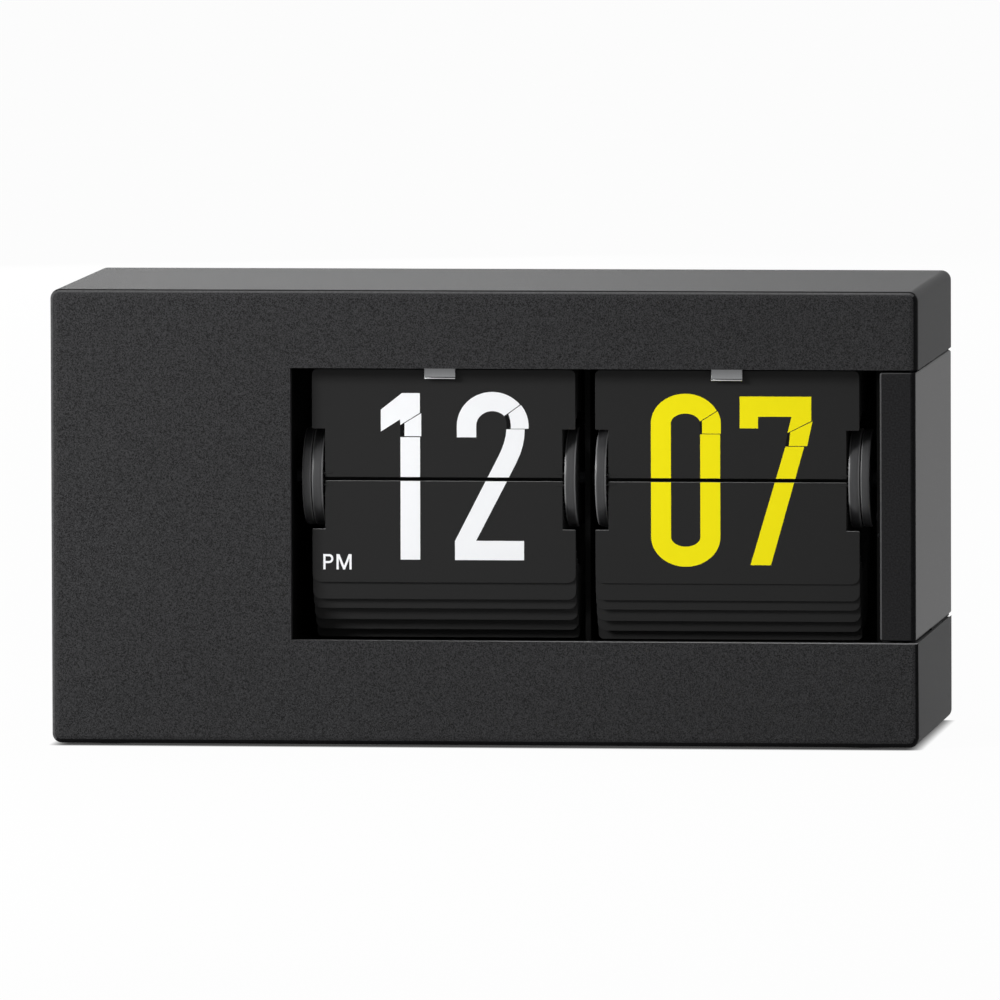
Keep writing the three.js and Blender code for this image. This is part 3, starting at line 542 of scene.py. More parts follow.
def round_off(
    shape: bmesh.types.BMesh, parts: Sequence[object], reach: float, steps: int
) -> list[bmesh.types.BMFace]:
    """Rounds edges or corners.

    Args:
        shape: The shape that holds them.
        parts: The edges, or the points of the corners.
        reach: How far the rounding reaches from them.
        steps: Segments across it.

    Returns:
        The faces of the rounding.
    """
    at_points = any(isinstance(part, bmesh.types.BMVert) for part in parts)
    return bmesh.ops.bevel(
        shape, geom=parts, offset=reach, offset_type="OFFSET", segments=steps, profile=0.5,
        affect="VERTICES" if at_points else "EDGES", material=-1,
    )["faces"]


def spin_outline(
    shape: bmesh.types.BMesh,
    points: Sequence[Spot],
    centre: Spot,
    axis: Way,
    steps: int,
    ring: bool,
) -> None:
    """Turns an outline a full circle.

    Args:
        shape: The shape that it is added to.
        points: The outline's points.
        centre: A point on the axis.
        axis: The axis direction.
        steps: Steps round the circle.
        ring: Whether the outline closes on itself, rather than on the axis.
    """
    verts = [shape.verts.new(point) for point in points]
    last = len(verts) if ring else len(verts) - 1
    edges = [shape.edges.new((verts[i], verts[(i + 1) % len(verts)])) for i in range(last)]
    bmesh.ops.spin(
        shape, geom=[*verts, *edges], cent=centre, axis=axis.value, dvec=(0.0, 0.0, 0.0),
        angle=math.tau, steps=steps, use_merge=True, use_duplicate=False,
    )


def block(
    shape: bmesh.types.BMesh, low: Sequence[float], high: Sequence[float]
) -> list[bmesh.types.BMVert]:
    """Adds a rectangular block.

    Args:
        shape: The shape that it is added to.
        low: Its lowest x, depth and height.
        high: Its highest x, depth and height.

    Returns:
        The block's corner points.
    """
    size = [b - a for a, b in zip(low, high)]
    middle = [(a + b) / 2 for a, b in zip(low, high)]
    place = Matrix.Translation(middle) @ Matrix.Diagonal((*size, 1.0))
    return bmesh.ops.create_cube(shape, size=1.0, matrix=place)["verts"]


def flat_face(shape: bmesh.types.BMesh, points: Sequence[Point]) -> bmesh.types.BMFace:
    """Adds a face in the x and height plane from its corner points."""
    return shape.faces.new([shape.verts.new((x, 0.0, z)) for x, z in points])


def push(
    shape: bmesh.types.BMesh, faces: Iterable[bmesh.types.BMFace], by: Sequence[float]
) -> list[bmesh.types.BMVert]:
    """Extrudes faces and moves the new ones, which take the place of faces that others adjoin.

    Args:
        shape: The shape that holds the faces.
        faces: The faces to extrude.
        by: How far the new faces move.

    Returns:
        The new points.
    """
    region = list(faces)
    rims = list(dict.fromkeys(edge for face in region for edge in face.edges))
    made = bmesh.ops.extrude_face_region(shape, geom=[*region, *rims])["geom"]
    verts = [item for item in made if isinstance(item, bmesh.types.BMVert)]
    bmesh.ops.translate(shape, vec=Vector(by), verts=verts)
    return verts


@dataclass
class CaseShell:
    """The C-shaped case: front wall, left block, two arms and the side walls.

    The last four fields say, for the rounding of the front's top, left, right and bottom edges,
    from where to where it carries painted shade, and up to where it carries a painted highlight
    beyond that, from 0 at the side to 1 at the front.
    """

    width: float = 200.0
    depth: float = 85.0
    height: float = 104.5
    wall: float = 2.4
    corner: float = 2.2
    edge: float = 1.0
    front_edge: float = 2.0
    window_left: float = -44.4
    window_bottom: float = 24.1
    window_top: float = 86.6
    window_break: float = 0.35
    lip_break: float = 0.245
    ledge_from: float = 91.35
    ledge_depth: float = 80.7
    boss_inset: float = 5.2
    boss_bore: float = 1.3
    boss_radius: float = 3.4
    boss_ends: Point = (60.8, 80.8)
    rim_slack: float = 0.1
    flat_angle: float = 0.4
    crisp_angle: float = 50.0
    shade_and_highlight_top: Spot = (-1.0, 0.55, 0.75)
    shade_and_highlight_left: Spot = (-1.0, 0.3, 0.8)
    shade_and_highlight_right: Spot = (0.3, 0.9, 0.9)
    shade_and_highlight_bottom: Spot = (-1.0, 0.82, 0.82)

    def build(self) -> bpy.types.Object:
        """Builds the shell.

        Returns:
            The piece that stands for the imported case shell.
        """
        half = self.width / 2
        shape = bmesh.new()
        flat_face(shape, [
            (half, 0.0), (-half, 0.0), (-half, self.height), (half, self.height),
            (half, self.window_top), (self.window_left, self.window_top),
            (self.window_left, self.window_bottom), (half, self.window_bottom),
        ])
        corners = [v for v in shape.verts if abs(v.co.x) == half and v.co.z in (0.0, self.height)]
        round_off(shape, corners, self.corner, steps=8)
        bmesh.ops.inset_region(
            shape, faces=shape.faces[:], thickness=self.corner - self.rim_slack,
            use_even_offset=True, use_boundary=True,
        )
        push(shape, shape.faces[:], (0.0, self.wall, 0.0))
        bmesh.ops.bisect_plane(
            shape, geom=[*shape.verts, *shape.edges, *shape.faces],
            plane_co=(self.ledge_from, 0.0, 0.0), plane_no=(1.0, 0.0, 0.0),
        )
        outer, ledges = self._wall_faces(shape)
        verts = push(shape, [*outer, *ledges], (0.0, self.ledge_depth - self.wall, 0.0))
        beside = dict.fromkeys(face for vert in verts for face in vert.link_faces)
        rims = [
            face for face in beside
            if self._faces_back(face, self.ledge_depth) and self._on_rim(face)
        ]
        push(shape, rims, (0.0, self.depth - self.ledge_depth, 0.0))
        close_up(shape)
        bmesh.ops.dissolve_limit(
            shape, angle_limit=math.radians(self.flat_angle), verts=shape.verts,
            edges=shape.edges, use_dissolve_boundaries=False,
        )
        self._paint_sill_highlight(shape)
        self._round_front(shape)
        self._weigh_edges(shape)
        self._add_bosses(shape)
        return settle(
            shape, "case_body", CASE_COAT, "case", ["case_shell"], bevel=self.edge,
            bevel_segments=4, by_weight=True, sharp=self.crisp_angle,
            edges=[SILL_HIGHLIGHT, CASE_EDGE_HIGHLIGHT, PAINTED_SHADE_EDGE],
        )

    def _paint_sill_highlight(self, shape: bmesh.types.BMesh) -> None:
        """Breaks the front edge of the window's sill and paints a highlight on the break."""
        lip = [
            edge for edge in shape.edges
            if all(
                abs(vert.co.y) < NEAR and abs(vert.co.z - self.window_bottom) < NEAR
                and vert.co.x > self.window_left - NEAR for vert in edge.verts
            )
        ]
        # Painted highlight: the sill's break takes the light finish.
        for face in round_off(shape, lip, self.lip_break, steps=2):
            face.material_index = CaseFace.SILL

    def _is_outside(self, point: Vector) -> bool:
        """Returns whether a point lies on the case's outline, seen from the front."""
        half = self.width / 2
        x, z = abs(point.x), point.z
        at_corner = x > half - self.corner and (z < self.corner or z > self.height - self.corner)
        return abs(x - half) < NEAR or z < NEAR or z > self.height - NEAR or at_corner

    def _is_crisp(self, edge: bmesh.types.BMEdge) -> bool:
        """Returns whether two faces meet at an edge that the bevels round."""
        return edge.calc_face_angle(0.0) > math.radians(self.crisp_angle)

    def _round_front(self, shape: bmesh.types.BMesh) -> None:
        """Rounds the front's outer edge and paints shade on bands of the rounding, with a painted
        highlight beside it above and at the left.
        """
        rim = [
            edge for edge in shape.edges
            if all(abs(vert.co.y) < NEAR and self._is_outside(vert.co) for vert in edge.verts)
            and self._is_crisp(edge)
        ]
        for face in round_off(shape, rim, self.front_edge, steps=9):
            face.normal_update()
            way, lean = face.normal, -face.normal.y
            if way.z > abs(way.x):
                shade_from, shade_to, highlight_to = self.shade_and_highlight_top
            elif -way.x > abs(way.z):
                shade_from, shade_to, highlight_to = self.shade_and_highlight_left
            elif way.x > abs(way.z):
                shade_from, shade_to, highlight_to = self.shade_and_highlight_right
            else:
                shade_from, shade_to, highlight_to = self.shade_and_highlight_bottom
            # Painted shade and painted highlight on the rounding, chosen by the way each face
            # turns.
            face.material_index = CaseFace.COAT
            if shade_from < lean < shade_to:
                face.material_index = CaseFace.PAINTED_SHADE
            elif shade_to <= lean < highlight_to:
                face.material_index = CaseFace.PAINTED_HIGHLIGHT

    def _faces_back(self, face: bmesh.types.BMFace, depth: float) -> bool:
        """Returns whether a face lies across the case at that depth."""
        return all(abs(vert.co.y - depth) < NEAR for vert in face.verts)

    def _on_rim(self, face: bmesh.types.BMFace) -> bool:
        """Returns whether a face belongs to the case's outer walls."""
        middle = face.calc_center_median()
        reach = self.corner + self.rim_slack
        beside = abs(middle.x) > self.width / 2 - reach
        return beside or middle.z < reach or middle.z > self.height - reach

    def _wall_faces(
        self, shape: bmesh.types.BMesh
    ) -> tuple[list[bmesh.types.BMFace], list[bmesh.types.BMFace]]:
        """Picks the faces behind the front wall that grow into walls.

        Args:
            shape: The front wall.

        Returns:
            The faces of the outer walls, and those of the two ledges by the end block.
        """
        back = [face for face in shape.faces if self._faces_back(face, self.wall)]
        outer = [face for face in back if self._on_rim(face)]
        ledges = []
        for face in back:
            middle = face.calc_center_median()
            beside = (
                self.window_bottom - self.wall < middle.z < self.window_bottom
                or self.window_top < middle.z < self.window_top + self.wall
            )
            if beside and middle.x > self.ledge_from and face not in outer:
                ledges.append(face)
        return outer, ledges

    def _weigh_edges(self, shape: bmesh.types.BMesh) -> None:
        """Gives each crisp edge its share of the rounded edge.

        Args:
            shape: The finished shell.
        """
        layer = shape.edges.layers.float.new("bevel_weight_edge")
        for edge in shape.edges:
            if len(edge.link_faces) != 2 or not self._is_crisp(edge):
                continue
            ends = [vert.co for vert in edge.verts]
            outside = all(self._is_outside(p) for p in ends)
            across = all(abs(p.x - self.width / 2) < NEAR for p in ends)
            at_front = all(abs(p.y) < NEAR for p in ends)
            at_back = all(abs(p.y - self.depth) < NEAR for p in ends)
            by_gap = all(
                min(abs(p.z - self.window_bottom), abs(p.z - self.window_top)) < NEAR for p in ends
            )
            if at_back and (outside or by_gap):
                edge[layer] = 1.0
            elif at_front or across:
                edge[layer] = self.window_break / self.edge

    def _add_bosses(self, shape: bmesh.types.BMesh) -> None:
        """Adds the four bosses that the rear cover's screws go into."""
        inner = self.width / 2 - self.wall - self.boss_inset
        low = self.wall + self.boss_inset
        near, far = self.boss_ends
        bore, radius = self.boss_bore, self.boss_radius
        for x in (-inner, inner):
            for z in (low, self.height - low):
                section = ((bore, near), (radius, near), (radius, far), (bore, far))
                outline = [(x + r, depth, z) for r, depth in section]
                spin_outline(shape, outline, (x, 0.0, z), Way.BACK, 28, ring=True)


@dataclass
class EndBlock:
    """The block that closes the C at the right, hollow towards the display."""

    left: float = 91.25
    right: float = 99.4
    bottom: float = 24.7
    top: float = 86.0
    depth: float = 85.0
    wall: float = 2.2
    front: float = 14.0
    corner: float = 0.5
    edge: float = 0.4
    rear_edge: float = 0.45
    front_edge: float = 1.1
    draft: float = 0.58
    tongue_left: float = 98.0
    tongue_right: float = 99.45
    tongue_from: float = 40.0
    tongue_to: float = 84.6
    tongue_rise: float = 0.58
    tongue_seat: float = 0.05
    rim_angle: float = 30.0
    highlight_lean: float = 0.2

    def build(self) -> bpy.types.Object:
        """Builds the end block.

        Returns:
            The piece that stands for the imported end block.
        """
        shape = bmesh.new()
        block(shape, (self.left, 0.0, self.bottom), (self.right, self.depth, self.top))
        upright = [
            edge for edge in shape.edges
            if all(v.co.x > self.right - NEAR and v.co.y < NEAR for v in edge.verts)
        ]
        # Painted shade on the rounding of the block's front right edge.
        for face in round_off(shape, upright, self.front_edge, steps=6):
            face.material_index = BlockFace.PAINTED_SHADE
        long_edges = [
            edge for edge in shape.edges
            if abs(edge.verts[0].co.y - edge.verts[1].co.y) > self.front_edge * 2
        ]
        round_off(shape, long_edges, self.corner, steps=6)
        for vert in shape.verts:
            if vert.co.x > self.right - self.front_edge - NEAR:
                vert.co.x += self.draft * vert.co.y / self.depth
        side = min(shape.faces, key=lambda face: face.calc_center_median().x)
        bmesh.ops.inset_region(shape, faces=[side], thickness=self.wall, use_even_offset=True)
        for vert in side.verts:
            if vert.co.y < self.depth / 2:
                vert.co.y = self.front
        push(shape, [side], (self.right - self.wall - self.left, 0.0, 0.0))
        close_up(shape)
        rear = [e for e in shape.edges if all(v.co.y > self.depth - NEAR for v in e.verts)]
        round_off(shape, rear, self.rear_edge, steps=5)
        rims = [
            edge for edge in shape.edges
            if all(v.co.y < NEAR for v in edge.verts)
            and edge.calc_face_angle(0.0) > math.radians(self.rim_angle)
        ]
        # Painted highlight on the rim faces that turn to the front and to the left or up.
        for face in round_off(shape, rims, self.edge, steps=3):
            way, lean = face.normal, self.highlight_lean
            if way.y < -lean and (way.x < -lean or way.z > lean):
                face.material_index = BlockFace.PAINTED_HIGHLIGHT
        self._add_tongues(shape)
        return settle(
            shape, "end_block_body", BLOCK_COAT, "case", ["end_block"],
            edges=[BLOCK_EDGE_HIGHLIGHT, PAINTED_SHADE_EDGE],
        )

    def _add_tongues(self, shape: bmesh.types.BMesh) -> None:
        """Adds the narrow tongues that seat the block on the two arms, painted dark as the shade in
        the gaps.
        """
        for low in (self.bottom - self.tongue_rise, self.top - self.tongue_seat):
            high = low + self.tongue_rise + self.tongue_seat
            verts = block(
                shape, (self.tongue_left, self.tongue_from, low),
                (self.tongue_right, self.tongue_to, high),
            )
            # Painted shade: the tongues take the dark finish of the shaded gaps.
            for face in {face for vert in verts for face in vert.link_faces}:
                face.material_index = BlockFace.PAINTED_SHADE


@dataclass
class CaseFittings:
    """Feet, the rear cover's screws and the pin in the right frame plate."""

    foot_radius: float = 6.0
    foot_side: float = 87.0
    foot_depths: Point = (13.0, 72.0)
    screw_radius: float = 2.9
    screw_side: float = 92.4
    screw_heights: Point = (7.6, 96.9)
    screw_face: float = 83.0
    pin: Point = (90.65, 48.4)

    def build(self) -> None:
        """Builds the small fittings of the case."""
        for row, depth in zip(("front", "rear"), self.foot_depths):
            for word, side in (("left", -1), ("right", 1)):
                self._foot(f"{row}_{word}", side * self.foot_side, depth)
        for row, height in zip(("low", "top"), self.screw_heights):
            for word, side in (("left", -1), ("right", 1)):
                self._screw(f"{row}_{word}", side * self.screw_side, height)
        self._plate_pin()

    def _foot(self, name: str, x: float, depth: float) -> None:
        """Builds one foot: a soft disc with a rounded lower edge and a shallow dish."""
        shape = bmesh.new()
        r = self.foot_radius
        section = (
            (0.0, 1.0), (r, 1.0), (r, -0.25), (r - 0.08, -0.41), (r - 0.25, -0.5), (r - 1.2, -0.5),
            (r - 1.8, -0.3), (0.0, -0.3),
        )
        points = [(x + out, depth, height) for out, height in section]
        spin_outline(shape, points, (x, depth, 0.0), Way.UP, 48, ring=False)
        close_up(shape)
        settle(shape, "foot_pad_" + name, FOOT_RUBBER, "case", ["foot_" + name], sharp=50.0)

    def _screw(self, name: str, x: float, z: float) -> None:
        """Builds one domed screw of the rear cover."""
        r = self.screw_radius
        section = (
            (0.0, 0.95), (r * 0.5, 0.85), (r * 0.85, 0.5), (r, 0.05), (r, 0.0), (1.2, 0.0),
            (1.2, -8.0), (0.0, -8.0),
        )
        points = [(x + out, self.screw_face + rise, z) for out, rise in section]
        self._pin("cover_screw_" + name, STEEL, points, 32)

    def _plate_pin(self) -> None:
        """Builds the small domed pin in the front edge of the right frame plate."""
        x, z = self.pin
        section = (
            (0.0, 5.05), (0.2, 5.09), (0.38, 5.2), (0.48, 5.38), (0.5, 5.6), (0.5, 6.4), (0.0, 6.4),
        )
        self._pin("plate_pin", DARK_STEEL, [(x + out, depth, z) for out, depth in section], 24)

    def _pin(self, name: str, finish: Finish, points: Sequence[Spot], steps: int) -> None:
        """Turns a screw or pin about the line back through its outline's first point.

        Args:
            name: The piece's name.
            finish: Its surface finish.
            points: Its outline, from the tip of the head.
            steps: Steps round the circle.
        """
        shape = bmesh.new()
        x, _, z = points[0]
        spin_outline(shape, points, (x, 0.0, z), Way.BACK, steps, ring=False)
        close_up(shape)
        settle(shape, name, finish, "case", sharp=50.0)


@dataclass
class Drum:
    """One display: its discs, flaps and the numbers printed on them.

    Attributes:
        name: The display's name, as in the nodes.
        centre: The middle of its flaps in x.
        leaves: Flaps round the drum.
        outer_side: The side of the extra disc.
        now: Draws the number that shows.
        after: Draws the number that comes next.
        ink: The finish of the numbers.
        catch_x: The middle of its catch in x.
    """

    name: str
    centre: float
    leaves: int
    outer_side: int
    now: Callable[["Numerals"], None]
    after: Callable[["Numerals"], None]
    ink: Finish
    catch_x: float
    catch_foot: float = 84.0
    catch_top: float = 92.6
    catch_half: float = 3.58
    pin_circle: float = 10.4
    pin_radius: float = 0.25
    pin_root: float = 1.6
    pin_seat: float = 0.9
    half_width: float = 30.4
    notch_width: float = 3.0
    notch_reach: float = 11.5
    notch_corner: float = 0.25
    thick: float = 0.3
    edge_break: float = 0.1
    tip: float = 25.2
    hinge_gap: float = 0.8
    rear_lap: float = 0.4
    corner: float = 1.2
    hanging_corner: float = 1.9
    bore: float = 2.3
    hub_radius: float = 5.0
    disc_radius: float = 11.45
    disc_thick: float = 2.5
    outer_radius: float = 11.2
    outer_thick: float = 2.0
    outer_gap: float = 0.25
    print_gap: float = 0.06
    root_gap: float = 0.1
    rim_angle: float = 60.0
    highlight_rise: float = 0.3
    reaches: tuple[float, ...] = (0.944, 1.099, 1.187, 1.294, 1.389)

    @property
    def pitch(self) -> float:
        """The angle from one flap to the next."""
        return math.tau / self.leaves

    @property
    def rise(self) -> float:
        """How far the top flap's pin stands above the axle."""
        return self.pin_circle * math.sin(self.pitch / 2)

    def place(self, pin_angle: float, lean: float) -> Matrix:
        """Returns where a flap stands, by its pin's angle below the front and its lean."""
        depth = AXLE_DEPTH - self.pin_circle * math.cos(pin_angle)
        height = AXLE_HEIGHT - self.pin_circle * math.sin(pin_angle)
        return Matrix.Translation((self.centre, depth, height)) @ Matrix.Rotation(-lean, 4, "X")

    def flap(self, node: str, body: str, length: float, lap: float, where: Matrix) -> None:
        """Builds one flap with its notches, rounded corners and hinge pins.

        Args:
            node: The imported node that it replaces.
            body: The body that it rides on.
            length: From the pin to the tip.
            lap: From the pin to the root.
            where: Its place in the drum.
        """
        shape = bmesh.new()
        half, neck = self.half_width, self.half_width - self.notch_width
        notch = self.notch_reach - self.rise
        hanging = where.to_3x3()[2][2] < 0
        flat_face(shape, [
            (-neck, -lap), (neck, -lap), (neck, notch), (half, notch), (half, length),
            (-half, length), (-half, notch), (-neck, notch),
        ])
        corner = self.hanging_corner if hanging else self.corner
        for level, radius, steps in ((length, corner, 8), (notch, self.notch_corner, 2)):
            chosen = [
                v for v in shape.verts
                if abs(v.co.z - level) < NEAR and abs(abs(v.co.x) - half) < NEAR
            ]
            round_off(shape, chosen, radius, steps)
        push(shape, shape.faces[:], (0.0, self.thick, 0.0))
        bmesh.ops.translate(shape, vec=(0.0, -self.thick / 2, 0.0), verts=shape.verts)
        close_up(shape)
        crisp = math.radians(self.rim_angle)
        rims = [e for e in shape.edges if e.calc_face_angle(0.0) > crisp]
        # Painted highlight on the broken edges of hanging flaps that face up.
        for face in round_off(shape, rims, self.edge_break, steps=2):
            if hanging and (where.to_3x3() @ face.normal).z > self.highlight_rise:
                face.material_index = 1
        root, end = neck - self.pin_root, half - self.disc_thick + self.pin_seat
        for side in (-1, 1):
            middle = Matrix.Translation((side * (root + end) / 2, 0.0, 0.0))
            bmesh.ops.create_cone(
                shape, cap_ends=True, segments=16, radius1=self.pin_radius,
                radius2=self.pin_radius, depth=end - root,
                matrix=middle @ Matrix.Rotation(math.pi / 2, 4, "Y"),
            )
        bmesh.ops.transform(shape, matrix=where, verts=shape.verts)
        settle(shape, node + "_sheet", FLAP_SHEET, body, [node], sharp=35.0, edges=[FLAP_EDGE_HIGHLIGHT])

    def build_flaps(self) -> None:
        """Builds the flaps that can be seen."""
        lap = self.rise - self.hinge_gap / 2
        top = self.tip - self.rise
        name = self.name
        top_flap = name + "_top_flap"
        self.flap(top_flap, top_flap, top, lap, self.place(-self.pitch / 2, 0.0))
        self.flap(
            name + "_next_flap", name + "_drum", top, min(lap, self.rear_lap),
            self.place(-self.pitch * 1.5, self.pitch),
        )
        nodes = ["front_flap"] + [f"stack_flap_{step}" for step in (1, 2, 3, 4)]
        for step, part in enumerate(nodes):
            angle = self.pitch * (step + 0.5)
            length = self.reaches[step] * self.tip - self.pin_circle * math.sin(angle)
            node = f"{name}_{part}"
            self.flap(node, node, length, lap, self.place(angle, math.pi))

    def build_discs(self) -> None:
        """Builds the two flap discs and the outer one, with crowned rims."""
        for side, word in ((-1, "left"), (1, "right")):
            inner = self.half_width - self.disc_thick
            node = f"{self.name}_disc_{word}"
            self._disc(node, side, inner, self.half_width, self.disc_radius)
        start = self.half_width + self.outer_gap
        end = start + self.outer_thick
        node = self.name + "_outer_disc"
        self._disc(node, self.outer_side, start, end, self.outer_radius)

    def _disc(self, node: str, side: int, near: float, far: float, radius: float) -> None:
        """Builds one disc.

        Args:
            node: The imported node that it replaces.
            side: -1 for the left of the drum, 1 for the right.
            near: From the drum's middle to the face nearer to it.
            far: From the drum's middle to the other face.
            radius: The rim's radius.
        """
        shape = bmesh.new()
        middle, half = (near + far) / 2, (far - near) / 2
        crown = [(-1.0, 0.22), (-0.76, 0.04), (-0.5, 0.0), (0.0, 0.0)]
        crown += [(-share, drop) for share, drop in reversed(crown[:-1])]
        rim = [(radius - drop, middle + share * half) for share, drop in crown]
        outline = [(self.bore, near), *rim, (self.bore, far)]
        if "outer" in node:
            inside, hub = self.half_width, self.hub_radius
            outline = [(self.bore, inside), (hub, inside), (hub, near), *outline[1:]]
        points = [(self.centre + side * x, AXLE_DEPTH, AXLE_HEIGHT + r) for r, x in outline]
        axle = Vector((0.0, AXLE_DEPTH, AXLE_HEIGHT))
        spin_outline(shape, points, axle, Way.RIGHT, 120, ring=True)
        close_up(shape)
        # Painted highlight on the shoulders of each rim, which take the lighter finish.
        for face in shape.faces:
            away = face.calc_center_median() - axle
            if 0.2 < abs(face.normal.x) < 0.9 and math.hypot(away.y, away.z) > radius * 0.9:
                face.material_index = 1
        settle(
            shape, node + "_rim", DISC_PLASTIC, self.name + "_drum", [node], sharp=24.0,
            edges=[DISC_EDGE_HIGHLIGHT],
        )

    def build_catch(self) -> None:
        """Builds the bent steel catch that holds the top flap."""
        shape = bmesh.new()
        left, foot, top = self.catch_x - self.catch_half, self.catch_foot, self.catch_top
        section = (
            (3.9, top), (3.9, foot + 0.4), (3.88, foot + 0.2), (3.78, foot + 0.06), (3.6, foot),
            (3.3, foot), (3.16, foot + 0.06), (3.1, foot + 0.2), (3.16, foot + 0.32),
            (3.3, foot + 0.36), (3.42, foot + 0.4), (3.5, foot + 0.52), (3.5, top),
        )
        shape.faces.new([shape.verts.new((left, depth, height)) for depth, height in section])
        push(shape, shape.faces[:], (self.catch_half * 2, 0.0, 0.0))
        close_up(shape)
        # The rounded edges take the lighter finish as a painted highlight.
        settle(
            shape, self.name + "_catch_tab", CATCH_STEEL, "case", [self.name + "_catch"],
            bevel=0.1, bevel_segments=2, edges=[CATCH_EDGE_HIGHLIGHT], bevel_slot_index=1,
        )

    def build_prints(self) -> None:
        """Prints the number that shows and the one that comes next."""
        face = AXLE_DEPTH - self.pin_circle * math.cos(self.pitch / 2) - self.thick / 2
        front = Matrix.Translation((self.centre, face, AXLE_HEIGHT))
        back = Matrix.Translation((self.centre, face + self.thick, AXLE_HEIGHT))
        back = back @ Matrix.Rotation(math.pi, 4, "X")
        coming = self.place(-self.pitch * 1.5, self.pitch)
        coming = coming @ Matrix.Translation((0.0, -self.thick / 2, -self.rise))
        edge = self.hinge_gap / 2 + self.print_gap
        root = max(edge, self.rise - self.rear_lap + self.root_gap)
        name = self.name
        for part, body, draw, upper, cut, where in (
            ("top", name + "_top_flap", self.now, True, edge, front),
            ("front", name + "_front_flap", self.now, False, edge, front),
            ("top_back", name + "_top_flap", self.after, False, edge, back),
            ("next", name + "_drum", self.after, True, root, coming),
        ):
            for gaps in (False, True):
                sheet = Numerals(gaps)
                draw(sheet)
                if not sheet.keep_half(upper, cut):
                    continue
                finish = GAP_INK if gaps else self.ink
                word = "_gap" if gaps else "_print"
                sheet.print_on(f"{name}_{part}{word}", finish, body, where)

    def build(self) -> None:
        """Builds the whole display."""
        self.build_discs()
        self.build_flaps()
        self.build_catch()
        self.build_prints()


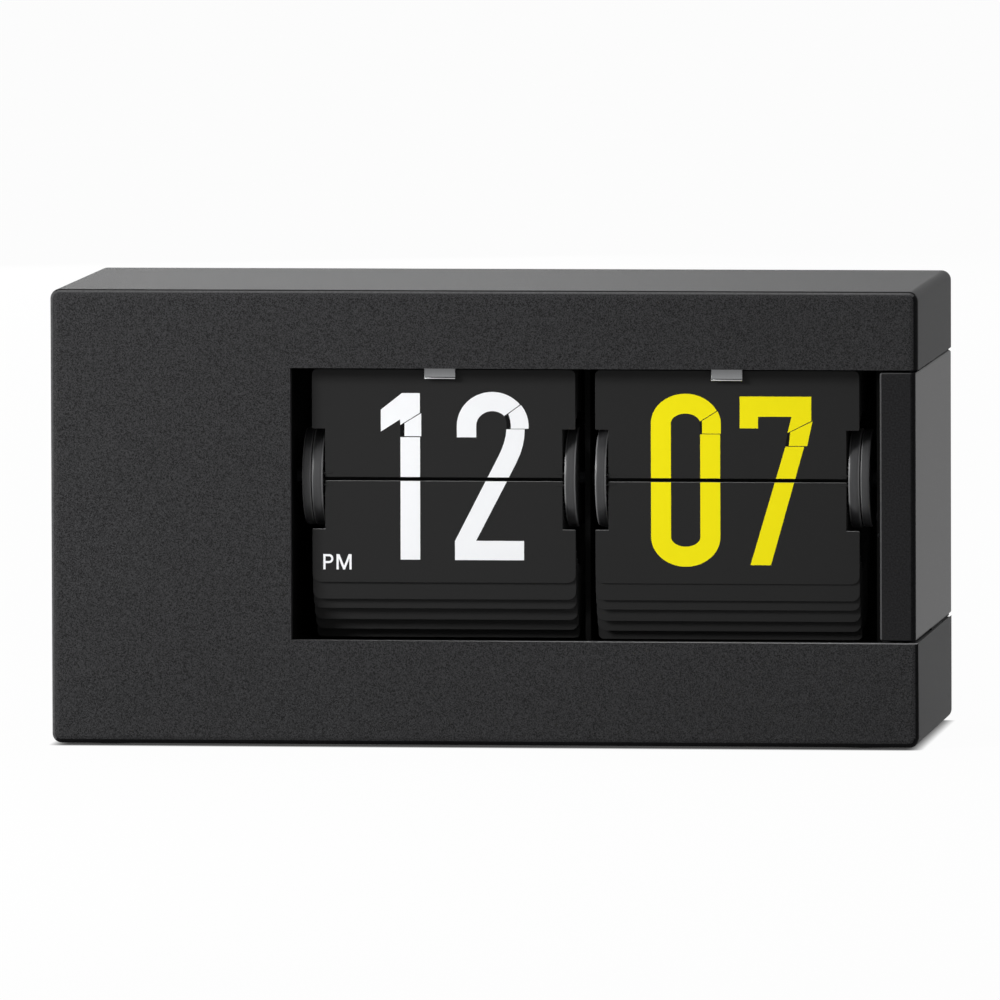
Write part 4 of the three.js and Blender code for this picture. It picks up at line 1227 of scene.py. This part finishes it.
class Numerals:
    """Draws numbers as flat faces, x from the flap's middle and height from the axle."""

    def __init__(self, gaps: bool) -> None:
        """Starts a sheet of ink, or of the dark slivers beside the shifted strokes."""
        self.gaps = gaps
        self.shape = bmesh.new()

    def area(self, points: Sequence[Point], dark: bool = False, shift: float = 0.0) -> None:
        """Adds a flat area of ink, or of a dark sliver."""
        if dark == self.gaps:
            flat_face(self.shape, [(x + shift, z) for x, z in points])

    def band(
        self, centre: Point, outer: Point, inner: Point, start: float, sweep: float,
        lines: Sequence[tuple[Point, Point]] = (), shift: float = 0.0, steps: int = 40,
    ) -> None:
        """Adds a curved stroke between two ellipses.

        Args:
            centre: The centre of the curve.
            outer: Half width and half height of the outer side.
            inner: Half width and half height of the inner side.
            start: Start angle in degrees, clockwise from the right.
            sweep: Sweep in degrees, clockwise.
            lines: Cuts, each a point and the direction that is kept.
            shift: How far the result moves to the right.
            steps: Steps along the curve.
        """
        if self.gaps:
            return
        part = bmesh.new()
        rows = []
        for step in range(steps + 1):
            angle = -math.radians(start + sweep * step / steps)
            along, up = math.cos(angle), math.sin(angle)
            rows.append([
                part.verts.new((centre[0] + a * along, 0.0, centre[1] + b * up))
                for a, b in (outer, inner)
            ])
        for (near_out, near_in), (far_out, far_in) in zip(rows, rows[1:]):
            part.faces.new((near_out, near_in, far_in, far_out))
        self._join(part, lines, shift)

    def _join(
        self, part: bmesh.types.BMesh, lines: Sequence[tuple[Point, Point]], shift: float
    ) -> None:
        """Cuts a part along lines, shifts it and adds it to the sheet."""
        for point, keep in lines:
            bmesh.ops.bisect_plane(
                part, geom=[*part.verts, *part.edges, *part.faces],
                plane_co=(point[0], 0.0, point[1]), plane_no=(keep[0], 0.0, keep[1]),
                clear_inner=True,
            )
        bmesh.ops.translate(part, vec=(shift, 0.0, 0.0), verts=part.verts)
        carrier = bpy.data.meshes.new("stroke")
        part.to_mesh(carrier)
        part.free()
        self.shape.from_mesh(carrier)
        bpy.data.meshes.remove(carrier)

    def keep_half(self, upper: bool, cut: float) -> bool:
        """Keeps the half above or below the hinge line.

        Args:
            upper: Whether the upper half stays.
            cut: How far from the hinge line the print starts.

        Returns:
            Whether anything is left.
        """
        way = 1.0 if upper else -1.0
        bmesh.ops.bisect_plane(
            self.shape, geom=[*self.shape.verts, *self.shape.edges, *self.shape.faces],
            plane_co=(0.0, 0.0, way * cut), plane_no=(0.0, 0.0, way), clear_inner=True,
        )
        left = len(self.shape.faces) > 0
        if not left:
            self.shape.free()
        return left

    def print_on(self, name: str, finish: Finish, body: str, where: Matrix) -> None:
        """Gives the ink its thickness and lays it on a flap.

        Args:
            name: The piece's name.
            finish: The ink.
            body: The body that it rides on.
            where: The place of the printed face.
        """
        bmesh.ops.remove_doubles(self.shape, verts=self.shape.verts, dist=0.001)
        push(self.shape, self.shape.faces[:], (0.0, -0.03, 0.0))
        bmesh.ops.recalc_face_normals(self.shape, faces=self.shape.faces)
        bmesh.ops.transform(self.shape, matrix=where, verts=self.shape.verts)
        settle(self.shape, name, finish, body, sharp=30.0)

    def one(self, shift: float = 0.0) -> None:
        """Draws a 1 with its shifted piece below the flag."""
        self.area(
            [(-14.49, 15.92), (-9.6, 19.74), (-5.46, 19.75), (-5.46, 15.2), (-9.97, 12.42),
             (-10.03, 13.71), (-14.5, 10.89)],
            shift=shift,
        )
        self.area([(-9.02, 12.8), (-5.17, 15.12), (-5.17, 9.85), (-9.02, 9.85)], shift=shift)
        self.area([(-9.97, 9.62), (-5.45, 9.62), (-5.5, -18.54), (-10.03, -18.54)], shift=shift)
        dark = [(-9.97, 12.3), (-9.1, 12.75), (-9.1, 9.85), (-9.97, 9.85)]
        self.area(dark, dark=True, shift=shift)

    def two(self) -> None:
        """Draws a 2 with its shifted piece at the right shoulder."""
        middle = (11.26, 12.27)
        self.area([(3.06, 12.27), (7.53, 12.27), (7.53, 9.63), (3.06, 9.63)])
        self.band(
            middle, (8.2, 7.81), (3.73, 3.4), 180.0, 180.0, [((14.03, 14.62), (-0.583, 0.813))]
        )
        self.band(
            middle, (8.2, 7.81), (4.1, 3.75), 180.0, 190.0,
            [((14.1, 14.54), (0.583, -0.813)), ((0, 11.66), (0, 1))], 0.16,
        )
        self.area(
            [(14.49, 11.53), (18.71, 11.53), (18.62, 9.7), (18.3, 7.87), (17.67, 5.87),
             (16.6, 3.5), (15.16, 0.69), (7.42, -14.14), (18.47, -14.14), (18.47, -18.58),
             (2.54, -18.58), (2.54, -14.2), (10.24, 0.69), (11.6, 3.3), (12.78, 5.62),
             (13.5, 7.2), (13.91, 8.35), (14.35, 10.1)]
        )
        self.area(
            [(14.1, 14.5), (14.95, 15.05), (15.4, 13.6), (15.45, 11.66), (14.55, 11.66),
             (14.5, 13.2)],
            dark=True,
        )

    def zero(self) -> None:
        """Draws a 0 with its shifted piece at the right shoulder."""
        x, top, outer = -9.6, 13.0, (7.97, 6.85)
        far, near = outer[0], 3.38
        self.band(
            (x, top), outer, (near, 2.3), 180.0, 180.0, [((-6.39, 13.46), (-0.529, 0.849))]
        )
        self.band((x, -top), outer, (near, 2.25), 0.0, 180.0)
        self.area([(x - far, top), (x - near, top), (x - near, -top), (x - far, -top)])
        self.area([(x + near, 10.55), (x + far, 10.55), (x + far, -top), (x + near, -top)])
        self.band(
            (x, top), outer, (3.66, 2.6), 180.0, 180.0, [((-6.34, 13.38), (0.529, -0.849))], 0.16
        )
        self.area([(x + 3.82, top), (x + 8.13, top), (x + 8.13, 10.72), (x + 3.82, 10.72)])
        self.area([(-6.3, 13.3), (-5.8, 13.6), (-5.76, 10.72), (-6.15, 10.72)], dark=True)

    def seven(self) -> None:
        """Draws a 7 with its shifted piece below the bar."""
        self.area(
            [(2.88, 19.27), (19.33, 19.27), (19.33, 13.72), (13.88, 10.98), (14.8, 14.66),
             (7.09, 14.66), (7.09, 11.98), (2.88, 11.98)]
        )
        self.area([(14.5, 11.1), (19.62, 13.62), (18.38, 7.97), (14.15, 7.97)])
        self.area([(13.38, 7.8), (17.7, 7.8), (10.0, -19.42), (5.28, -19.42)])
        self.area([(13.85, 10.85), (14.42, 10.95), (14.07, 7.97), (13.35, 7.97)], dark=True)

    def eight(self) -> None:
        """Draws an 8 in the style of the other numbers."""
        x, waist = 11.1, 1.45
        above, below = ((0.0, waist + 0.003), (0.0, 1.0)), ((0.0, waist), (0.0, -1.0))
        for high, low, outer, inner, over, under in (
            (13.68, 5.2, (7.3, 6.2), (3.1, 2.0), [], [above]),
            (-2.9, -13.08, (8.0, 6.8), (3.42, 2.3), [below], []),
        ):
            self.band((x, high), outer, inner, 180.0, 180.0, over)
            self.band((x, low), outer, inner, 0.0, 180.0, under)
            for side in (-1, 1):
                near, far = x + side * inner[0], x + side * outer[0]
                self.area([(near, high), (far, high), (far, low), (near, low)])

    def afternoon(self) -> None:
        """Draws the small letters P and M."""
        top, base, waist = -17.36, -20.88, -18.94
        left, stem, bar = -27.9, -27.38, -26.6
        self.area(
            [(left, top), (stem, top), (stem, top - 0.5), (stem, waist), (stem, waist - 0.5),
             (stem, base), (left, base)]
        )
        for high in (top, waist):
            self.area([(stem, high), (bar, high), (bar, high - 0.5), (stem, high - 0.5)])
        self.band((bar, top - 1.04), (1.04, 1.04), (0.54, 0.54), 270.0, 180.0, steps=16)
        self.area(
            [(-24.85, base), (-24.85, top), (-24.15, top), (-23.1, -20.0), (-22.05, top),
             (-21.35, top), (-21.35, base), (-21.86, base), (-21.86, -18.3), (-22.88, base),
             (-23.32, base), (-24.34, -18.3), (-24.34, base)]
        )


@dataclass
class Studio:
    """The floor, the lamps, the surroundings and the camera."""

    azimuth: float = 6.51104875
    elevation: float = 4.10296145
    distance: float = 4.476384
    focal_pixels: float = 19544.58
    centre_pixels: Point = (483.1086, 518.4730)
    roll: float = -0.193386
    target: Spot = (0.0, -0.0425, 0.05275)
    sensor: float = 36.0
    picture: float = 1000.0
    aim: Spot = (0.0, 0.0, 0.05)
    seen_share: float = 0.97
    around: float = 0.2
    contact_reach: float = 0.002

    def build(self) -> None:
        """Builds everything around the clock."""
        self._floor()
        self._world()
        self._lamp("key", (-0.52, -0.5, 0.36), 0.22, 5.6)
        self._lamp("fill", (1.3, -1.2, 0.55), 0.9, 0.6)
        self._lamp("above", (0.0, 0.25, 1.4), 1.0, 8.0)
        self._lamp("rear", (-0.6, 1.6, 0.5), 1.0, 9.0)
        self._camera()
        bpy.context.scene.view_settings.view_transform = "Standard"

    def _seen(self, tree: bpy.types.NodeTree) -> bpy.types.Node:
        """Returns a mask of the rays that show the background: seen, mirrored or passed on."""
        path = add_node(tree, "ShaderNodeLightPath")
        first, second = add_math(tree, "MAXIMUM"), add_math(tree, "MAXIMUM")
        wire(
            tree,
            (path, "Is Camera Ray", first, 0), (path, "Is Glossy Ray", first, 1),
            (first, "Value", second, 0), (path, "Is Transmission Ray", second, 1),
        )
        return second

    def _floor(self) -> None:
        """Lays a pale floor that keeps a faint shadow."""
        shape = bmesh.new()
        bmesh.ops.create_grid(shape, x_segments=2, y_segments=2, size=4.0)
        mesh = bpy.data.meshes.new("floor")
        shape.to_mesh(mesh)
        shape.free()
        floor = add_object("floor", mesh)
        pale = bpy.data.materials.new("pale_floor")
        pale.use_nodes = True
        tree = pale.node_tree
        shader = tree.nodes["Principled BSDF"]
        set_inputs(shader, {
            "Base Color": (0.6, 0.6, 0.6, 1.0), "Roughness": 0.9, "Specular IOR Level": 0.0,
        })
        glow = add_node(tree, "ShaderNodeEmission")
        near = add_node(tree, "ShaderNodeAmbientOcclusion", {"Distance": self.contact_reach})
        near.samples = 16
        share = add_math(tree, "MULTIPLY", {1: self.seen_share})
        mix = add_node(tree, "ShaderNodeMixShader")
        wire(
            tree,
            (near, "AO", glow, "Strength"), (self._seen(tree), "Value", share, 0),
            (share, "Value", mix, "Fac"), (shader, "BSDF", mix, 1), (glow, "Emission", mix, 2),
            (mix, "Shader", tree.nodes["Material Output"], "Surface"),
        )
        mesh.materials.append(pale)

    def _world(self) -> None:
        """Surrounds the clock with soft light that looks white."""
        world = bpy.data.worlds.new("soft_surroundings")
        bpy.context.scene.world = world
        world.use_nodes = True
        tree = world.node_tree
        white = (1.0, 1.0, 1.0, 1.0)
        around = tree.nodes["Background"]
        set_inputs(around, {"Color": white, "Strength": self.around})
        shown = add_node(tree, "ShaderNodeBackground", {"Color": white, "Strength": 1.0})
        mix = add_node(tree, "ShaderNodeMixShader")
        wire(
            tree,
            (self._seen(tree), "Value", mix, "Fac"), (around, "Background", mix, 1),
            (shown, "Background", mix, 2),
            (mix, "Shader", tree.nodes["World Output"], "Surface"),
        )

    def _lamp(self, name: str, place: Spot, size: float, watts: float) -> None:
        """Adds one soft square lamp aimed at the clock.

        Args:
            name: The lamp's name.
            place: Where it stands, in metres.
            size: The length of its sides in metres.
            watts: Its power.
        """
        light = bpy.data.lights.new(name, "AREA")
        light.shape = "SQUARE"
        light.size = size
        light.energy = watts
        lamp = add_object(name, light)
        lamp.location = place
        way = Vector(self.aim) - Vector(place)
        lamp.rotation_euler = way.to_track_quat("-Z", "Y").to_euler()

    def _camera(self) -> None:
        """Stands the camera where the photograph was taken from."""
        azimuth, elevation = math.radians(self.azimuth), math.radians(self.elevation)
        out = Vector((
            math.sin(azimuth) * math.cos(elevation),
            -math.cos(azimuth) * math.cos(elevation),
            math.sin(elevation),
        ))
        right = (-out).cross(Vector((0.0, 0.0, 1.0))).normalized()
        up = right.cross(-out).normalized()
        turn = math.radians(self.roll)
        x_axis = right * math.cos(turn) + up * math.sin(turn)
        y_axis = up * math.cos(turn) - right * math.sin(turn)
        data = bpy.data.cameras.new("camera")
        data.sensor_width = self.sensor
        data.lens = self.sensor * self.focal_pixels / self.picture
        data.shift_x = (self.picture / 2 - self.centre_pixels[0]) / self.picture
        data.shift_y = (self.centre_pixels[1] - self.picture / 2) / self.picture
        data.clip_end = 50.0
        camera = add_object("camera", data)
        turned = Matrix((x_axis, y_axis, out)).transposed().to_4x4()
        place = Matrix.Translation(Vector(self.target) + out * self.distance)
        camera.matrix_world = place @ turned
        bpy.context.scene.camera = camera


def dress_nodes() -> None:
    """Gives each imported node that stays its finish."""
    for name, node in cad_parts.items():
        finish = NODE_FINISHES.get(name)
        if finish is None:
            continue
        node.data.materials.clear()
        node.data.materials.append(finish.material())
        log.info("%s keeps its shape in %s", name, finish.name)


def main() -> None:
    """Builds the clock and its studio in order."""
    dress_nodes()
    CaseShell().build()
    EndBlock().build()
    CaseFittings().build()

    def twelve(sheet: Numerals) -> None:
        """Draws 12 with PM."""
        sheet.one()
        sheet.two()
        sheet.afternoon()

    def one_after(sheet: Numerals) -> None:
        """Draws 1 with PM."""
        sheet.one(18.7)
        sheet.afternoon()

    def seven_past(sheet: Numerals) -> None:
        """Draws 07."""
        sheet.zero()
        sheet.seven()

    def eight_past(sheet: Numerals) -> None:
        """Draws 08."""
        sheet.zero()
        sheet.eight()

    Drum("hour", -9.6, 24, -1, twelve, one_after, WHITE_INK, -10.3).build()
    Drum("minute", 55.75, 30, 1, seven_past, eight_past, YELLOW_INK, 55.8, catch_foot=83.8).build()
    Studio().build()


if __name__ == "__main__":
    main()
